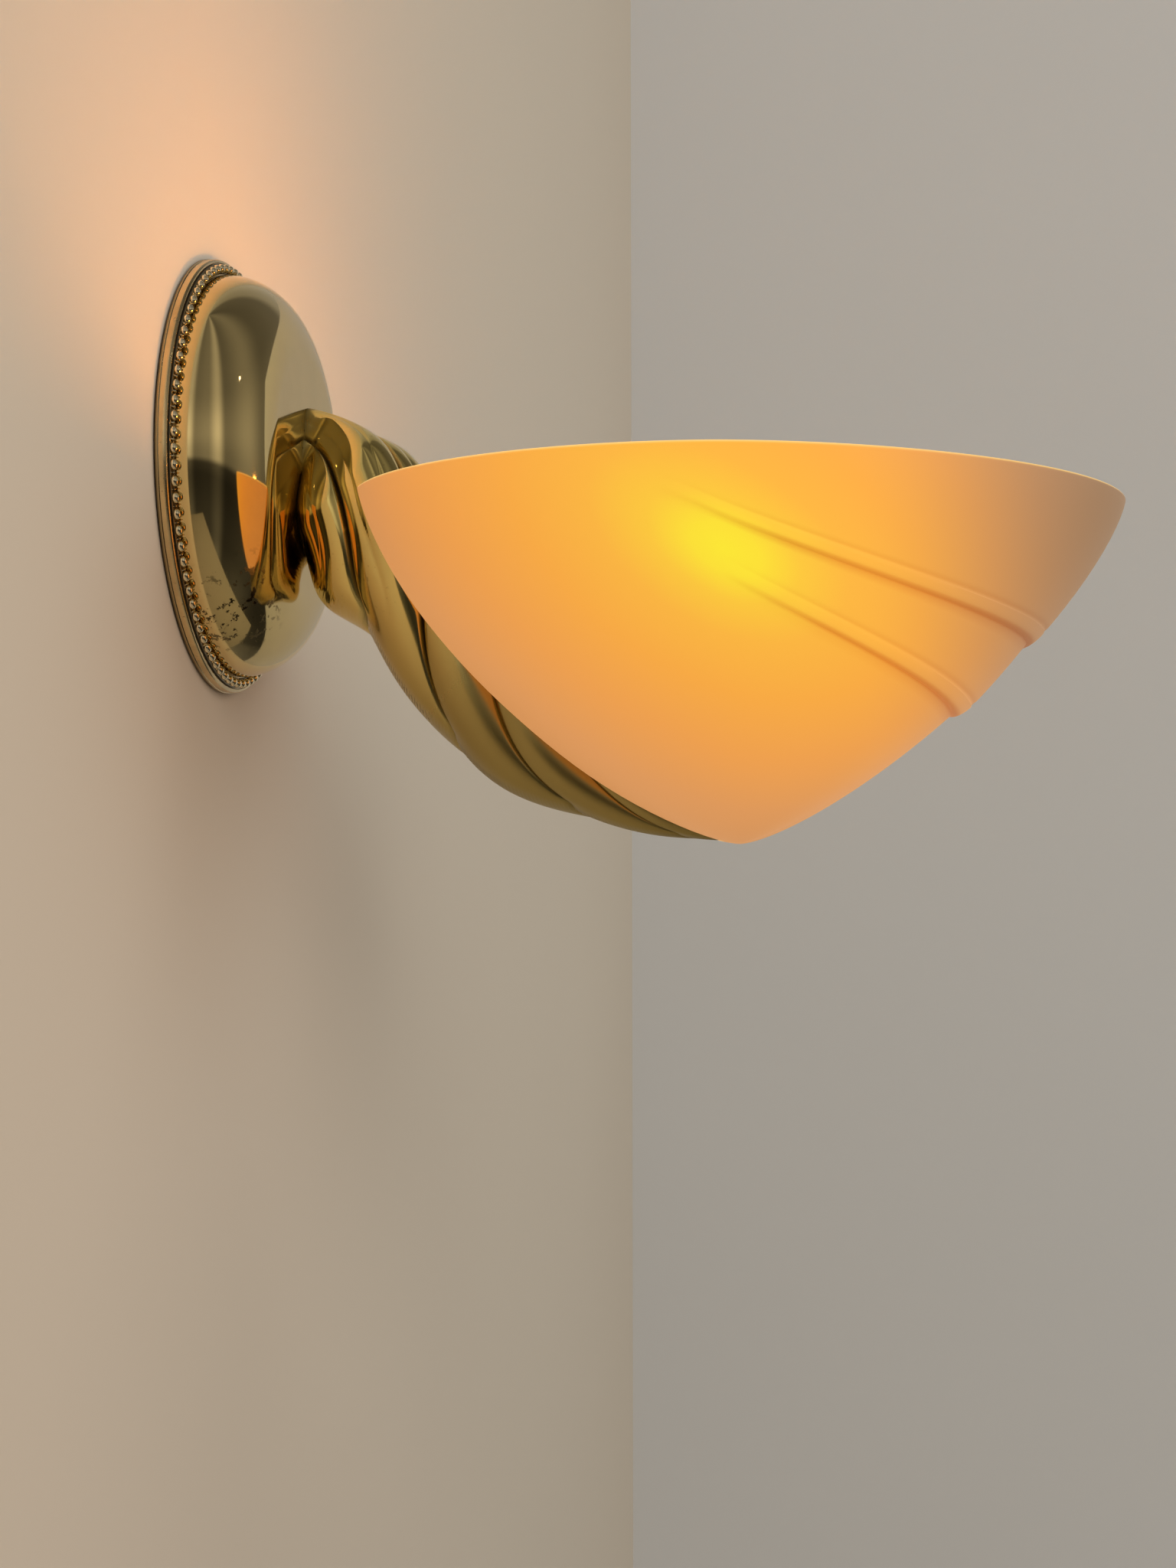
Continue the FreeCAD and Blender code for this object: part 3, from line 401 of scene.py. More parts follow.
def nearWallDarkening(start, end):
    # Darker near the wall, plainer further out.
    def build(tree):
        height = axesOf(tree, objectPlace(tree))["Y"]
        return remap(tree, height, -start * mm, -end * mm, wear["wallDark"], 0.0)
    return build


domeLook = {"patchCentre": (-31.6, -14.7, -44.8), "patchCore": 6.3, "patchRadius": 21,
            "speckNoise": (330.0, 4.0, 0.7), "specks": (0.555, 0.60)}


def darkSpeckPatch(tree):
    # A cluster of dark specks low on the dome's left side.
    place = objectPlace(tree)
    away = vectorMath(tree, "DISTANCE", place, Vector(domeLook["patchCentre"]) * mm)
    near = remap(tree, away, domeLook["patchCore"] * mm, domeLook["patchRadius"] * mm, 1.0, 0.0)
    spots = remap(tree, noise(tree, place, *domeLook["speckNoise"]), *domeLook["specks"])
    return calculate(tree, "MULTIPLY", near, spots)


stripes = {"scale": 90.0, "distortion": 1.0, "edge": (0.48, 0.52), "green": (0.03, 0.22, 0.05),
           "yellow": (0.75, 0.62, 0.04), "roughness": 0.42}


def stripedWireMaterial():
    material, tree, surface = startMaterial("earthWire")
    wave = addNode(tree, "TexWave", {"Vector": objectPlace(tree), "Scale": stripes["scale"],
                                     "Distortion": stripes["distortion"]},
                   wave_type="BANDS", bands_direction="DIAGONAL")
    stripe = remap(tree, wave.outputs["Fac"], *stripes["edge"])
    colour = blendColours(tree, stripe, (*stripes["green"], 1), (*stripes["yellow"], 1))
    setInputs(tree, surface, {"Base Color": colour, "Roughness": stripes["roughness"]})
    return material


# Frosted glass with painted light: the bulb's glow is painted into its emission and base colour as a soft
# yellow spot on each side, in orange that pales outwards
glow = {
    "spot": (70.0, -154.0, -38.5), "lean": -32.3, "stretch": (1.0, 0.60, 1.15), "far": 110.0,
    "stops": [(0, (0.97, 0.84, 0.035)), (7, (0.97, 0.78, 0.038)), (14, (0.97, 0.60, 0.048)),
              (24, (0.97, 0.49, 0.056)), (40, (0.96, 0.43, 0.062)), (60, (0.90, 0.385, 0.086)),
              (82, (0.79, 0.355, 0.120)), (110, (0.68, 0.325, 0.130))],
    "tip": (0.32, 0.195, 0.110), "tipShadeFrom": 186.0, "tipShadeTo": 262.0, "strength": 0.80, "glowInBaseShare": 0.35,
    "stepShadeTints": [(0.0, (0.76, 0.54, 0.42)), (0.5, (0.95, 0.93, 0.90)), (1.0, (1.0, 1.0, 1.0))],
    "rimLight": (1.0, 0.66, 0.22), "rimFacing": (0.15, 0.7), "roughness": 0.5, "density": 1.45,
    "waver": 2.0, "waverNoise": (22.0, 3.0), "frostNoise": (2600.0, 2.0), "bump": (0.02, 0.35),
}


def frostedGlassMaterial():
    material, tree, surface = startMaterial("frostedGlass")
    place = objectPlace(tree)
    parts = axesOf(tree, place)
    spot = Vector(glow["spot"]) * mm
    oneSide = addNode(tree, "CombineXYZ", {"X": calculate(tree, "ABSOLUTE", parts["X"]), "Y": parts["Y"],
                                           "Z": parts["Z"]})
    leaned = addNode(tree, "VectorRotate", {"Vector": oneSide.outputs[0], "Center": spot,
                                            "Angle": math.radians(glow["lean"])}, rotation_type="X_AXIS")
    moved = vectorMath(tree, "SUBTRACT", leaned.outputs[0], spot)
    away = vectorMath(tree, "LENGTH", vectorMath(tree, "MULTIPLY", moved, glow["stretch"]))
    reach = glow["waver"] * mm
    waver = remap(tree, noise(tree, place, *glow["waverNoise"]), 0.0, 1.0, -reach, reach)
    share = remap(tree, calculate(tree, "ADD", away, waver), 0.0, glow["far"] * mm)
    spread = rampOf(tree, share, [(stop / glow["far"], colour) for stop, colour in glow["stops"]])
    # Painted shade: the glow darkens towards the front tip, farthest from the bulb.
    tipShadeShare = remap(tree, parts["Y"], -glow["tipShadeFrom"] * mm, -glow["tipShadeTo"] * mm,
                     interpolation_type="SMOOTHSTEP")
    glowing = blendColours(tree, tipShadeShare, spread, (*glow["tip"], 1))
    # Painted shade in the step creases and a painted highlight on their lips.
    stepShade = addNode(tree, "Attribute", attribute_name="stepShade").outputs["Fac"]
    dimmed = vectorMath(tree, "MULTIPLY", glowing, rampOf(tree, stepShade, glow["stepShadeTints"]))
    # A painted highlight on faces that point up, such as the rim's top edge.
    upward = axesOf(tree, addNode(tree, "NewGeometry").outputs["Normal"])["Z"]
    rimShare = remap(tree, upward, *glow["rimFacing"])
    # The base colour is the painted glow, darkened; the emission adds the painted glow with the steps'
    # painted shade and the rim's painted highlight.
    setInputs(tree, surface, {
        "Base Color": blendColours(tree, glow["glowInBaseShare"], (0, 0, 0, 1), glowing),
        "Emission Color": blendColours(tree, rimShare, dimmed, (*glow["rimLight"], 1)),
        "Emission Strength": glow["strength"], "Roughness": glow["roughness"], "IOR": glow["density"]})
    addBump(tree, surface, noise(tree, place, *glow["frostNoise"]), *glow["bump"])
    return material


bulbLook = {"tint": (1.0, 0.45, 0.08), "edge": (1.0, 0.36, 0.05), "strength": 37.0,
            "base": (0.85, 0.80, 0.70), "grain": (1200.0, 40.0, 0.35), "roughness": 0.30, "bump": (0.01, 0.2)}


def bulbGlassMaterial():
    material, tree, surface = startMaterial("opalBulb")
    grain = grained(tree, bulbLook["tint"], bulbLook["edge"], *bulbLook["grain"])
    setInputs(tree, surface, {
        "Base Color": (*bulbLook["base"], 1), "Emission Color": grain["Color"],
        "Emission Strength": bulbLook["strength"], "Roughness": bulbLook["roughness"]})
    addBump(tree, surface, grain["Height"], *bulbLook["bump"])
    return material


recesses = {"oldBrass": nearWallDarkening(*wear["rimDark"]), "beadBrass": nearWallDarkening(*wear["beadDark"]),
            "mirrorBrass": darkSpeckPatch, "castBrass": hornDarkeningOf}
finishes = {name: metalMaterial(name, recesses.get(name)) for name in metalLooks}
finishes.update({name: plainMaterial(name) for name in plainLooks})
finishes.update({"earthWire": stripedWireMaterial(), "frostedGlass": frostedGlassMaterial(),
                 "opalBulb": bulbGlassMaterial()})
print("materials ready")


def finishPiece(obj, name, finish, body, slotName, *replaced):
    obj.name = name
    obj.data.name = name
    obj.data.materials.clear()
    obj.data.materials.append(finishes[finish])
    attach(obj, body)
    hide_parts(*replaced)
    print("piece", name, len(obj.data.polygons), "faces")


# Rosette rim: a turned ring with a rolled edge and a channel for the beads
rim = {
    "radius": 62.3, "opening": 55.0, "edge": 0.9, "crest": 3.4, "channel": (58.0, 61.0), "channelFloor": 3.2,
    "shoulder": 4.2, "spigot": 56.6, "spigotTop": 6.5, "steps": 160, "sharpFrom": 30,
    "roll": (0.25, 0.95), "rollAngles": (20, 95, 7), "chamfer": 0.25, "wallChamfer": 0.3, "lipDrop": 0.1,
    "shoulderChamfer": 0.15, "spigotChamfer": 0.2,
}


def makeRim():
    outer, crest, (left, right), floor = rim["radius"], rim["crest"], rim["channel"], rim["channelFloor"]
    shoulder, spigot, top = rim["shoulder"], rim["spigot"], rim["spigotTop"]
    chamfer, step, tip = rim["chamfer"], rim["shoulderChamfer"], rim["spigotChamfer"]
    out, roll = rim["roll"]
    outline = [(rim["opening"], 0), (outer - rim["wallChamfer"], 0), (outer, chamfer), (outer, rim["edge"]),
               (outer - chamfer, rim["edge"] + chamfer)]
    edge = arcPoints((right + out, crest - roll), roll, *rim["rollAngles"])
    outline += [(min(r, outer), h) for r, h in edge]
    outline += [(right, crest - rim["lipDrop"]), (right, floor), (left, floor), (left, shoulder - step),
                (left - step, shoulder), (spigot, shoulder), (spigot, top - tip), (spigot - tip, top),
                (rim["opening"], top)]
    obj = spun("rosetteRim", wallAxis, outline, rim["steps"])
    shadeSmooth(obj, rim["sharpFrom"])
    finishPiece(obj, "rosetteRim", "oldBrass", "fixture", "old_brass", "rosette_rim")


# Bead ring: a long bead and a small reel, copied round a pressed band
beads = {   # sizes are across, along the ring and out from the wall; sides are round and from pole to pole
    "count": 84, "middle": 59.5, "beadSize": (1.30, 1.55, 1.30), "beadHeight": 4.45, "beadSides": (10, 7),
    "reelSize": (0.95, 0.32, 0.95), "reelHeight": 4.05, "reelSides": (8, 5), "lean": 12.0, "sharpFrom": 50,
    "bandTop": 3.9, "bandInner": 58.15, "bandOuter": 60.85, "bandChamfer": 0.15,
}


def roundBead(place, size, sides):
    deselectAll()
    (across, long, tall), (segments, rings) = size, sides
    bpy.ops.mesh.primitive_uv_sphere_add(segments=segments, ring_count=rings, radius=mm, location=place * mm)
    bead = bpy.context.object
    bead.scale = (across, tall, long)
    bpy.ops.object.transform_apply(location=False, rotation=False, scale=True)
    return bead


def makeBeadRing():
    edge, inner, outer = beads["bandChamfer"], beads["bandInner"], beads["bandOuter"]
    floor, top, middle = rim["channelFloor"], beads["bandTop"], beads["middle"]
    outline = [(inner, floor), (outer, floor), (outer, top - edge), (outer - edge, top), (inner + edge, top),
               (inner, top - edge)]
    band = spun("beadBand", wallAxis, outline, beads["count"])
    pieces = [band]
    bead = roundBead(Vector((middle, -beads["beadHeight"], 0)), beads["beadSize"], beads["beadSides"])
    bead.rotation_euler = (math.radians(beads["lean"]), 0, 0)
    cleanPlace(bead)
    angle = math.pi / beads["count"]
    place = Vector((math.cos(angle) * middle, -beads["reelHeight"], math.sin(angle) * middle))
    reel = roundBead(place, beads["reelSize"], beads["reelSides"])
    cleanPlace(reel)
    pick(bead)
    reel.select_set(True)
    bpy.ops.object.join()
    for k in range(beads["count"]):
        copy = bead.copy()
        copy.data = bead.data.copy()
        bpy.context.collection.objects.link(copy)
        copy.rotation_euler = (0, math.tau * k / beads["count"], 0)
        pieces.append(copy)
    bpy.data.objects.remove(bead)
    pick(band)
    for piece in pieces:
        piece.select_set(True)
    bpy.ops.object.transform_apply(location=True, rotation=True, scale=True)
    bpy.ops.object.join()
    shadeSmooth(band, beads["sharpFrom"])
    finishPiece(band, "beadRing", "beadBrass", "fixture", "old_brass", "bead_ring")


# Dome cover: thin spun brass, polished like a mirror
dome = {
    "foot": 57.65, "skirtLow": 4.2, "skirt": 5.0, "top": 26.0, "flat": 34.0, "fullness": 2.0, "sheet": 0.9,
    "hole": 5.1, "chamfer": 0.2, "points": 36, "steps": 192, "sharpFrom": 35,
}


def domeCurve(inset):
    points = []
    power = 2 / dome["fullness"]
    for k in range(dome["points"] + 1):
        angle = math.pi / 2 * k / dome["points"]
        across = (dome["foot"] - inset - dome["flat"]) * max(math.cos(angle), 0) ** power
        rise = (dome["top"] - inset - dome["skirt"]) * math.sin(angle) ** power
        points.append((dome["flat"] + across, dome["skirt"] + rise))
    return points


def makeDome():
    foot, low, sheet, chamfer = dome["foot"], dome["skirtLow"], dome["sheet"], dome["chamfer"]
    outline = [(foot - sheet, low), (foot - chamfer, low), (foot, low + chamfer)] + domeCurve(0)
    outline += [(dome["hole"], dome["top"]), (dome["hole"], dome["top"] - sheet)] + domeCurve(sheet)[::-1]
    obj = spun("domeCover", wallAxis, outline, dome["steps"])
    shadeSmooth(obj, dome["sharpFrom"])
    finishPiece(obj, "domeCover", "mirrorBrass", "fixture", "polished_brass", "dome_cover")


# Horn: a cast tube that dives from the dome, with twisted flutes and two finer pleats in each near its foot
horn = {
    "stations": [   # out from the wall, up, radius
        (14.0, 2.0, 19.4), (26.0, 0.0, 19.4), (35.0, -5.5, 20.3), (44.0, -14.0, 21.2), (60.0, -36.0, 20.0),
        (74.0, -60.0, 17.6), (92.0, -80.0, 14.5), (112.0, -92.5, 9.2), (130.0, -100.5, 5.4),
        (146.0, -105.3, 1.8)],
    "flutes": 5, "fluteDepth": 0.145, "fluteSharpness": 0.70, "startTurn": 60.0, "turnPerMm": 1.8,
    "quickening": (85.0, 0.006), "under": (140.0, 185.0), "over": (200.0, 330.0), "lag": 28.0,
    "fuller": [   # along, spread, side, share
        (35.0, 12.5, 180.0, 0.20), (13.0, 9.0, 0.0, 0.09), (1.0, 7.0, 180.0, -0.14)],
    "creaseDepth": 0.045, "creaseWidth": 0.030, "creaseFade": (55.0, 115.0), "creaseLoss": 0.7,
    "pleatDepth": 0.024, "pleats": [
        {"from": 0.41, "to": 0.41, "drift": (20.0, 56.0), "fade": (18.0, 46.0), "width": 0.075},
        {"from": 0.78, "to": 0.45, "drift": (20.0, 56.0), "fade": (36.0, 60.0), "width": 0.075}],
    "tipRounding": 1.6, "columns": 300, "rows": 170, "cut": 26.0, "footWidth": 0.36, "footRun": 16.0,
    "sharpFrom": 40,
}
stations = np.array(horn["stations"])
lengths = np.concatenate([[0], np.cumsum(np.hypot(np.diff(stations[:, 0]), np.diff(stations[:, 1])))])
hornPlaces = lengths - lengths[1]
hornLine = naturalSpline(hornPlaces, stations)
hornStart, hornEnd = float(hornPlaces[0]), float(hornPlaces[-1])


def hornFrame(along):
    (out, up, radius), (outSlope, upSlope, _) = hornLine(min(along, hornEnd))
    forward = Vector((0, -outSlope, upSlope)).normalized()
    top = Vector((0, upSlope, outSlope)).normalized()
    centre = Vector((0, -out, up)) + forward * max(along - hornEnd, 0)
    return centre, radius, top, forward


def footShare(along):
    # The horn's sides draw in towards the dome.
    share = min(max(along / horn["footRun"], 0), 1)
    return horn["footWidth"] + (1 - horn["footWidth"]) * share * (2 - share)


def grooveStart(along):
    # Degrees from the top at which the first groove lies; the twist quickens as the horn thins.
    start, rate = horn["quickening"]
    return horn["startTurn"] + horn["turnPerMm"] * along + rate * max(along - start, 0) ** 2


def lagged(angle):
    # The grooves run more steeply round the horn's underside.
    return angle + horn["lag"] * (smoothStep(*horn["over"], angle) - smoothStep(*horn["under"], angle))


wholeTurn = np.arange(0, 361.0)
laggedTurn = np.array([lagged(angle) for angle in wholeTurn])


def pleatLines(phase, along):
    # 1 in the bottom of a pleat, falling off to both sides and fading along the horn.
    total = 0
    for pleat in horn["pleats"]:
        drift = smoothStep(*pleat["drift"], along)
        place = pleat["from"] + (pleat["to"] - pleat["from"]) * drift
        total += (1 - smoothStep(*pleat["fade"], along)) * math.exp(-abs(phase - place) / pleat["width"])
    return total


def hornShare(phase, along):
    # Share of the horn's radius across one lobe; 0 and 1 are the sharp creases between lobes.
    lobe = 1 - horn["fluteDepth"] * (1 - math.sin(math.pi * phase) ** horn["fluteSharpness"])
    edge = min(phase, 1 - phase) / horn["creaseWidth"]
    kept = 1 - horn["creaseLoss"] * smoothStep(*horn["creaseFade"], along)
    crease = horn["creaseDepth"] * math.exp(-edge * edge) * kept
    return lobe - crease - horn["pleatDepth"] * pleatLines(phase, along)


def fullness(angle, along):
    # The horn is fuller under its first bend and at its shoulder, and thinner under its foot.
    total = 1
    for middle, spread, side, share in horn["fuller"]:
        facing = max(math.cos(math.radians(angle - side)), 0) ** 2
        total += share * facing * math.exp(-((along - middle) / spread) ** 2)
    return total


def hornPoint(column, row):
    along = hornStart + (hornEnd - hornStart) * row / horn["rows"]
    centre, radius, top, _ = hornFrame(along)
    rest = max(along - (hornEnd - horn["tipRounding"]), 0) / horn["tipRounding"]
    radius *= math.sqrt(max(1 - rest * rest, 0))
    angle = np.interp((grooveStart(along) + 360 * column / horn["columns"]) % 360, laggedTurn, wholeTurn)
    phase = (column * horn["flutes"] / horn["columns"]) % 1
    reach = radius * hornShare(phase, along) * fullness(angle, along)
    turn = math.radians(angle)
    side = Vector((-footShare(along), 0, 0))
    return centre + top * (reach * math.cos(turn)) + side * (reach * math.sin(turn))


def hornPipe(name, start, end, extra, columns, rows):
    # A smooth pipe round the horn's line, used to cut and fill the glass.
    def place(column, row):
        along = start + (end - start) * row / rows
        centre, radius, top, _ = hornFrame(along)
        turn = math.tau * column / columns
        reach = radius + extra
        return centre + top * (reach * math.cos(turn)) + Vector((-1, 0, 0)) * (reach * math.sin(turn))
    return rolledSheet(name, columns, rows, place)


seat = {"along": 97.0, "rise": 35.0, "spotRadius": 9.2, "spotTop": 40, "padTop": 0.8, "glassTop": 4.8,
        "discRadius": 13.0, "discGap": 0.6, "hole": 5.1, "holeTop": 6, "below": -10, "above": 24}
seatCentre, seatRadius, seatTop, _ = hornFrame(seat["along"])
riseAngle = math.radians(seat["rise"])
holderAxis = {
    "origin": (seatCentre + seatTop * seatRadius) * mm,
    "along": Vector((0, -math.cos(riseAngle), math.sin(riseAngle))),
    "up": Vector((0, math.sin(riseAngle), math.cos(riseAngle))),
}


def makeHorn():
    obj = rolledSheet("hornArm", horn["columns"], horn["rows"], hornPoint)
    startEditing(obj)
    bpy.ops.mesh.bisect(plane_co=(0, -horn["cut"] * mm, 0), plane_no=(0, -1, 0), use_fill=True,
                        clear_inner=True, clear_outer=False)
    bpy.ops.object.mode_set(mode="OBJECT")
    fixNormals(obj)
    combine(obj, rod("spotFace", holderAxis, seat["spotRadius"], 0, seat["spotTop"]))
    values = [hornDarkeningAt(vertex.co / mm) for vertex in obj.data.vertices]
    markVertices(obj, "hornDarkening", values)
    shadeSmooth(obj, horn["sharpFrom"])
    finishPiece(obj, "hornArm", "castBrass", "fixture", "cast_brass", "horn_arm")


hornSamples = [(along, *hornFrame(along)) for along in np.arange(hornStart, hornEnd + 0.5, 1.0)]
hornCentres = np.array([list(sample[1]) for sample in hornSamples])
hornDarkening = {"grooveWidth": 0.040, "groove": 0.9, "grooveLoss": 0.5, "pleat": 0.15, "pleatPower": 5,
          "foot": 0.60, "footWidth": 2.5, "dull": 0.54, "dullness": (42.0, 100.0)}


def hornDarkeningAt(point):
    # Darker in the creases, with painted shade along the foot where it meets the dome, and duller towards the
    # tip.
    nearest = int(np.argmin(((hornCentres - np.array(list(point))) ** 2).sum(axis=1)))
    along, centre, _, top, _ = hornSamples[nearest]
    offset = point - centre
    angle = math.degrees(math.atan2(-offset.x / footShare(along), offset.dot(top))) % 360
    phase = ((lagged(angle) - grooveStart(along)) * horn["flutes"] / 360) % 1
    edge = min(phase, 1 - phase) / hornDarkening["grooveWidth"]
    kept = 1 - hornDarkening["grooveLoss"] * smoothStep(*horn["creaseFade"], along)
    groove = hornDarkening["groove"] * math.exp(-edge * edge) * kept
    pleat = hornDarkening["pleat"] * pleatLines(phase, along) ** hornDarkening["pleatPower"]
    # Painted shade where the foot meets the dome.
    foot = hornDarkening["foot"] * (1 - smoothStep(horn["cut"], horn["cut"] + hornDarkening["footWidth"], -point.y))
    dull = hornDarkening["dull"] * smoothStep(*hornDarkening["dullness"], along)
    return min(max(groove, pleat, foot, dull), 1.0)


# Bowl: pressed glass with two overlapping steps round its front
bowl = {   # a step's values are its level, climb, reach, swell out and swell in
    "middle": (0, -150, -11), "halfWidth": 76.0, "front": 107.0, "back": 110.0, "depth": 97.0,
    "planPower": 1.85, "frontPower": 1.32, "sidePower": 1.6, "backPower": 1.47, "slope": 0.03, "wall": 4.0,
    "softening": 1.1,
    "upper": (31.9, 0.0024, 98.0, 0.008, 0.010), "lower": (44.9, 0.0029, 88.0, 0.010, 0.013),
    "riser": 2.4, "beadZone": 1.8, "zoneLimit": 0.6, "hollow": (0.45, 0.50, 0.0030), "columns": 168,
    "innerRows": 40, "firstRow": 0.25, "grooveGap": 0.3, "coverGrid": (96, 90), "grooveGrid": (128, 120),
    "creaseShade": 0.0, "hollowShade": 0.34, "plainShade": 0.5, "lipShade": 0.90, "shadeGain": 3,
    "lipTurn": (0.35, 0.9), "creaseRun": 0.8, "touch": 0.2, "sharpFrom": 32,
}
rimLevels = [0, 0.4, 0.8, 1.3, 1.8, 2.4, 3.0]
beadShares = [1.0, 0.88, 0.78, 0.69, 0.61, 0.53, 0.45, 0.36, 0.26, 0.15, 0.07]
lipShares = [0.0, 0.25, 0.45, 0.62, 0.76, 0.87, 0.95]
panelRows = [10, 5, 26]


def signedPower(value, power):
    return math.copysign(abs(value) ** power, value)


def bowlPoint(angle, level, inset, swell):
    # angle: degrees round from the front. level: 0 at the rim, 90 at the lowest point.
    ahead, aside = math.cos(math.radians(angle)), math.sin(math.radians(angle))
    front, back = max(ahead, 0) ** 2, max(-ahead, 0) ** 2
    side = 1 - front - back
    power = 2 / (bowl["frontPower"] * front + bowl["backPower"] * back + bowl["sidePower"] * side)
    drop = math.sin(math.radians(level)) ** power
    soft = max(bowl["softening"] - (bowl["depth"] - inset) * drop, 0) / bowl["softening"]
    inset = inset + bowl["softening"] * (1 - math.sqrt(1 - soft * soft)) * (1 if inset == 0 else -1)
    length = bowl["front"] if ahead > 0 else bowl["back"]
    x = -(bowl["halfWidth"] - inset) * signedPower(aside, 2 / bowl["planPower"])
    y = -(length - inset) * signedPower(ahead, 2 / bowl["planPower"])
    spread = math.cos(math.radians(level)) ** power if level < 90 else 0
    place = Vector((x * spread, y * spread, bowl["slope"] * y * spread - (bowl["depth"] - inset) * drop))
    return Vector(bowl["middle"]) + place * (1 + swell)


def stepAt(turn, kind):
    level, climb, reach, _, _ = bowl[kind]
    within = min(turn, reach)
    return level - climb * within ** 2, max(math.cos(math.pi / 2 * min(turn / reach, 1)), 0)


def outerLevel(angle, panel, part, share):
    # Level, swell and shade. Each panel ends in a bead, rounds over and tucks in under its own lip.
    turn = angle if angle <= 180 else 360 - angle
    upper, upperFade = stepAt(turn, "upper")
    lower, lowerFade = stepAt(turn, "lower")
    bounds = [rimLevels[-1], upper, lower, 90]
    fades = [upperFade, lowerFade, 0]
    shadeFades = [min(bowl["shadeGain"] * fade, 1) for fade in fades]
    *_, upperOut, upperIn = bowl["upper"]
    *_, lowerOut, lowerIn = bowl["lower"]
    out = [upperOut * upperFade, lowerOut * lowerFade, 0]
    tucked = [0, -upperIn * upperFade, -lowerIn * lowerFade]
    start, edge = bounds[panel] + (bowl["riser"] if panel else 0), bounds[panel + 1]
    plain, lipped, creased = bowl["plainShade"], bowl["lipShade"], bowl["creaseShade"]
    if part == "lip":
        drop = 1 - math.sqrt(1 - share * share)
        shade = lipped + (creased - lipped) * smoothStep(*bowl["lipTurn"], share)
        swell = out[panel] + (tucked[panel + 1] - out[panel]) * drop
        return edge + bowl["riser"] * share, swell, plain + (shade - plain) * shadeFades[panel]
    zone = min(bowl["beadZone"], bowl["zoneLimit"] * (edge - start)) if panel < 2 else 0
    level = edge - zone * share if part == "bead" else start + (edge - zone - start) * share
    swell = tucked[panel] + (out[panel] - tucked[panel]) * (level - start) / (edge - start)
    shade = plain
    if part == "bead":
        middle, width, depth = bowl["hollow"]
        above = edge - level
        hollowed = math.exp(-((above - middle) / width) ** 2)
        swell -= depth * hollowed * fades[panel]
        shade += (bowl["hollowShade"] - plain) * hollowed * shadeFades[panel]
        shade += (lipped - plain) * (1 - smoothStep(0, middle, above)) * shadeFades[panel]
    elif panel > 0:
        below = smoothStep(0, bowl["creaseRun"], level - start)
        shade += (creased - plain) * (1 - below) * shadeFades[panel - 1]
    return level, swell, shade


outerRows = []
for panelIndex, count in enumerate(panelRows):
    first = 1 if panelIndex == 0 else 0
    last = count - 1 if panelIndex < 2 else count
    outerRows += [(panelIndex, "panel", k / count) for k in range(first, last + 1)]
    if panelIndex > 0:
        outerRows.insert(-last, (panelIndex, "panel", bowl["firstRow"] / count))
    if panelIndex < 2:
        outerRows += [(panelIndex, "bead", share) for share in beadShares]
        outerRows += [(panelIndex, "lip", share) for share in lipShares]


def makeOuterBowl():
    total = len(rimLevels) + len(outerRows)

    def place(column, row):
        angle = 360 * column / bowl["columns"]
        if row < len(rimLevels):
            return bowlPoint(angle, rimLevels[row], 0, 0)
        level, swell, _ = outerLevel(angle, *outerRows[row - len(rimLevels)])
        return bowlPoint(angle, level, 0, swell)
    return rolledSheet("outerBowl", bowl["columns"], total - 1, place)


def markSteps(obj):
    # Painted shade in the creases under the steps and a painted highlight along their lips, as a factor on
    # the glass's painted glow; 0.5 is plain glass.
    shades = []
    for rowInfo in outerRows:
        for column in range(bowl["columns"]):
            angle = 360 * column / bowl["columns"]
            level, swell, shade = outerLevel(angle, *rowInfo)
            shades.append((bowlPoint(angle, level, 0, swell) * mm, shade))
    finder = KDTree(len(shades))
    for k, (place, _) in enumerate(shades):
        finder.insert(place, k)
    finder.balance()
    values = []
    for vertex in obj.data.vertices:
        _, k, away = finder.find(vertex.co)
        values.append(shades[k][1] if away < bowl["touch"] * mm else bowl["plainShade"])
    markVertices(obj, "stepShade", values)


def makeInnerBowl():
    low, rows = rimLevels[-1], bowl["innerRows"]
    levels = [0] + rimLevels + [low + (90 - low) * k / rows for k in range(1, rows + 1)]
    lift = Vector((0, 0, 2 * bowl["wall"]))

    def place(column, row):
        angle = 360 * column / bowl["columns"]
        point = bowlPoint(angle, levels[row], bowl["wall"], 0)
        return point + lift if row == 0 else point
    return rolledSheet("innerBowl", bowl["columns"], len(levels) - 1, place)


def makeGlass():
    glass = makeOuterBowl()
    inside = makeInnerBowl()
    gap, cover = bowl["grooveGap"], bowl["grooveGap"] + bowl["wall"]
    padTop, glassTop, over = seat["padTop"], seat["glassTop"], seat["discRadius"] + seat["discGap"]
    combine(inside, hornPipe("cover", 0, hornEnd + cover, cover, *bowl["coverGrid"]))
    combine(glass, inside)
    combine(glass, rod("seatDisc", holderAxis, seat["discRadius"], padTop, glassTop), "UNION")
    combine(glass, hornPipe("groove", 0, hornEnd + gap, gap, *bowl["grooveGrid"]))
    combine(glass, rod("underSeat", holderAxis, seat["spotRadius"], seat["below"], padTop))
    combine(glass, rod("overSeat", holderAxis, over, glassTop, seat["above"]))
    combine(glass, rod("seatHole", holderAxis, seat["hole"], 0, seat["holeTop"]))
    markSteps(glass)
    shadeSmooth(glass, bowl["sharpFrom"])
    finishPiece(glass, "glassShade", "frostedGlass", "fixture", "frosted_glass", "glass_shade")


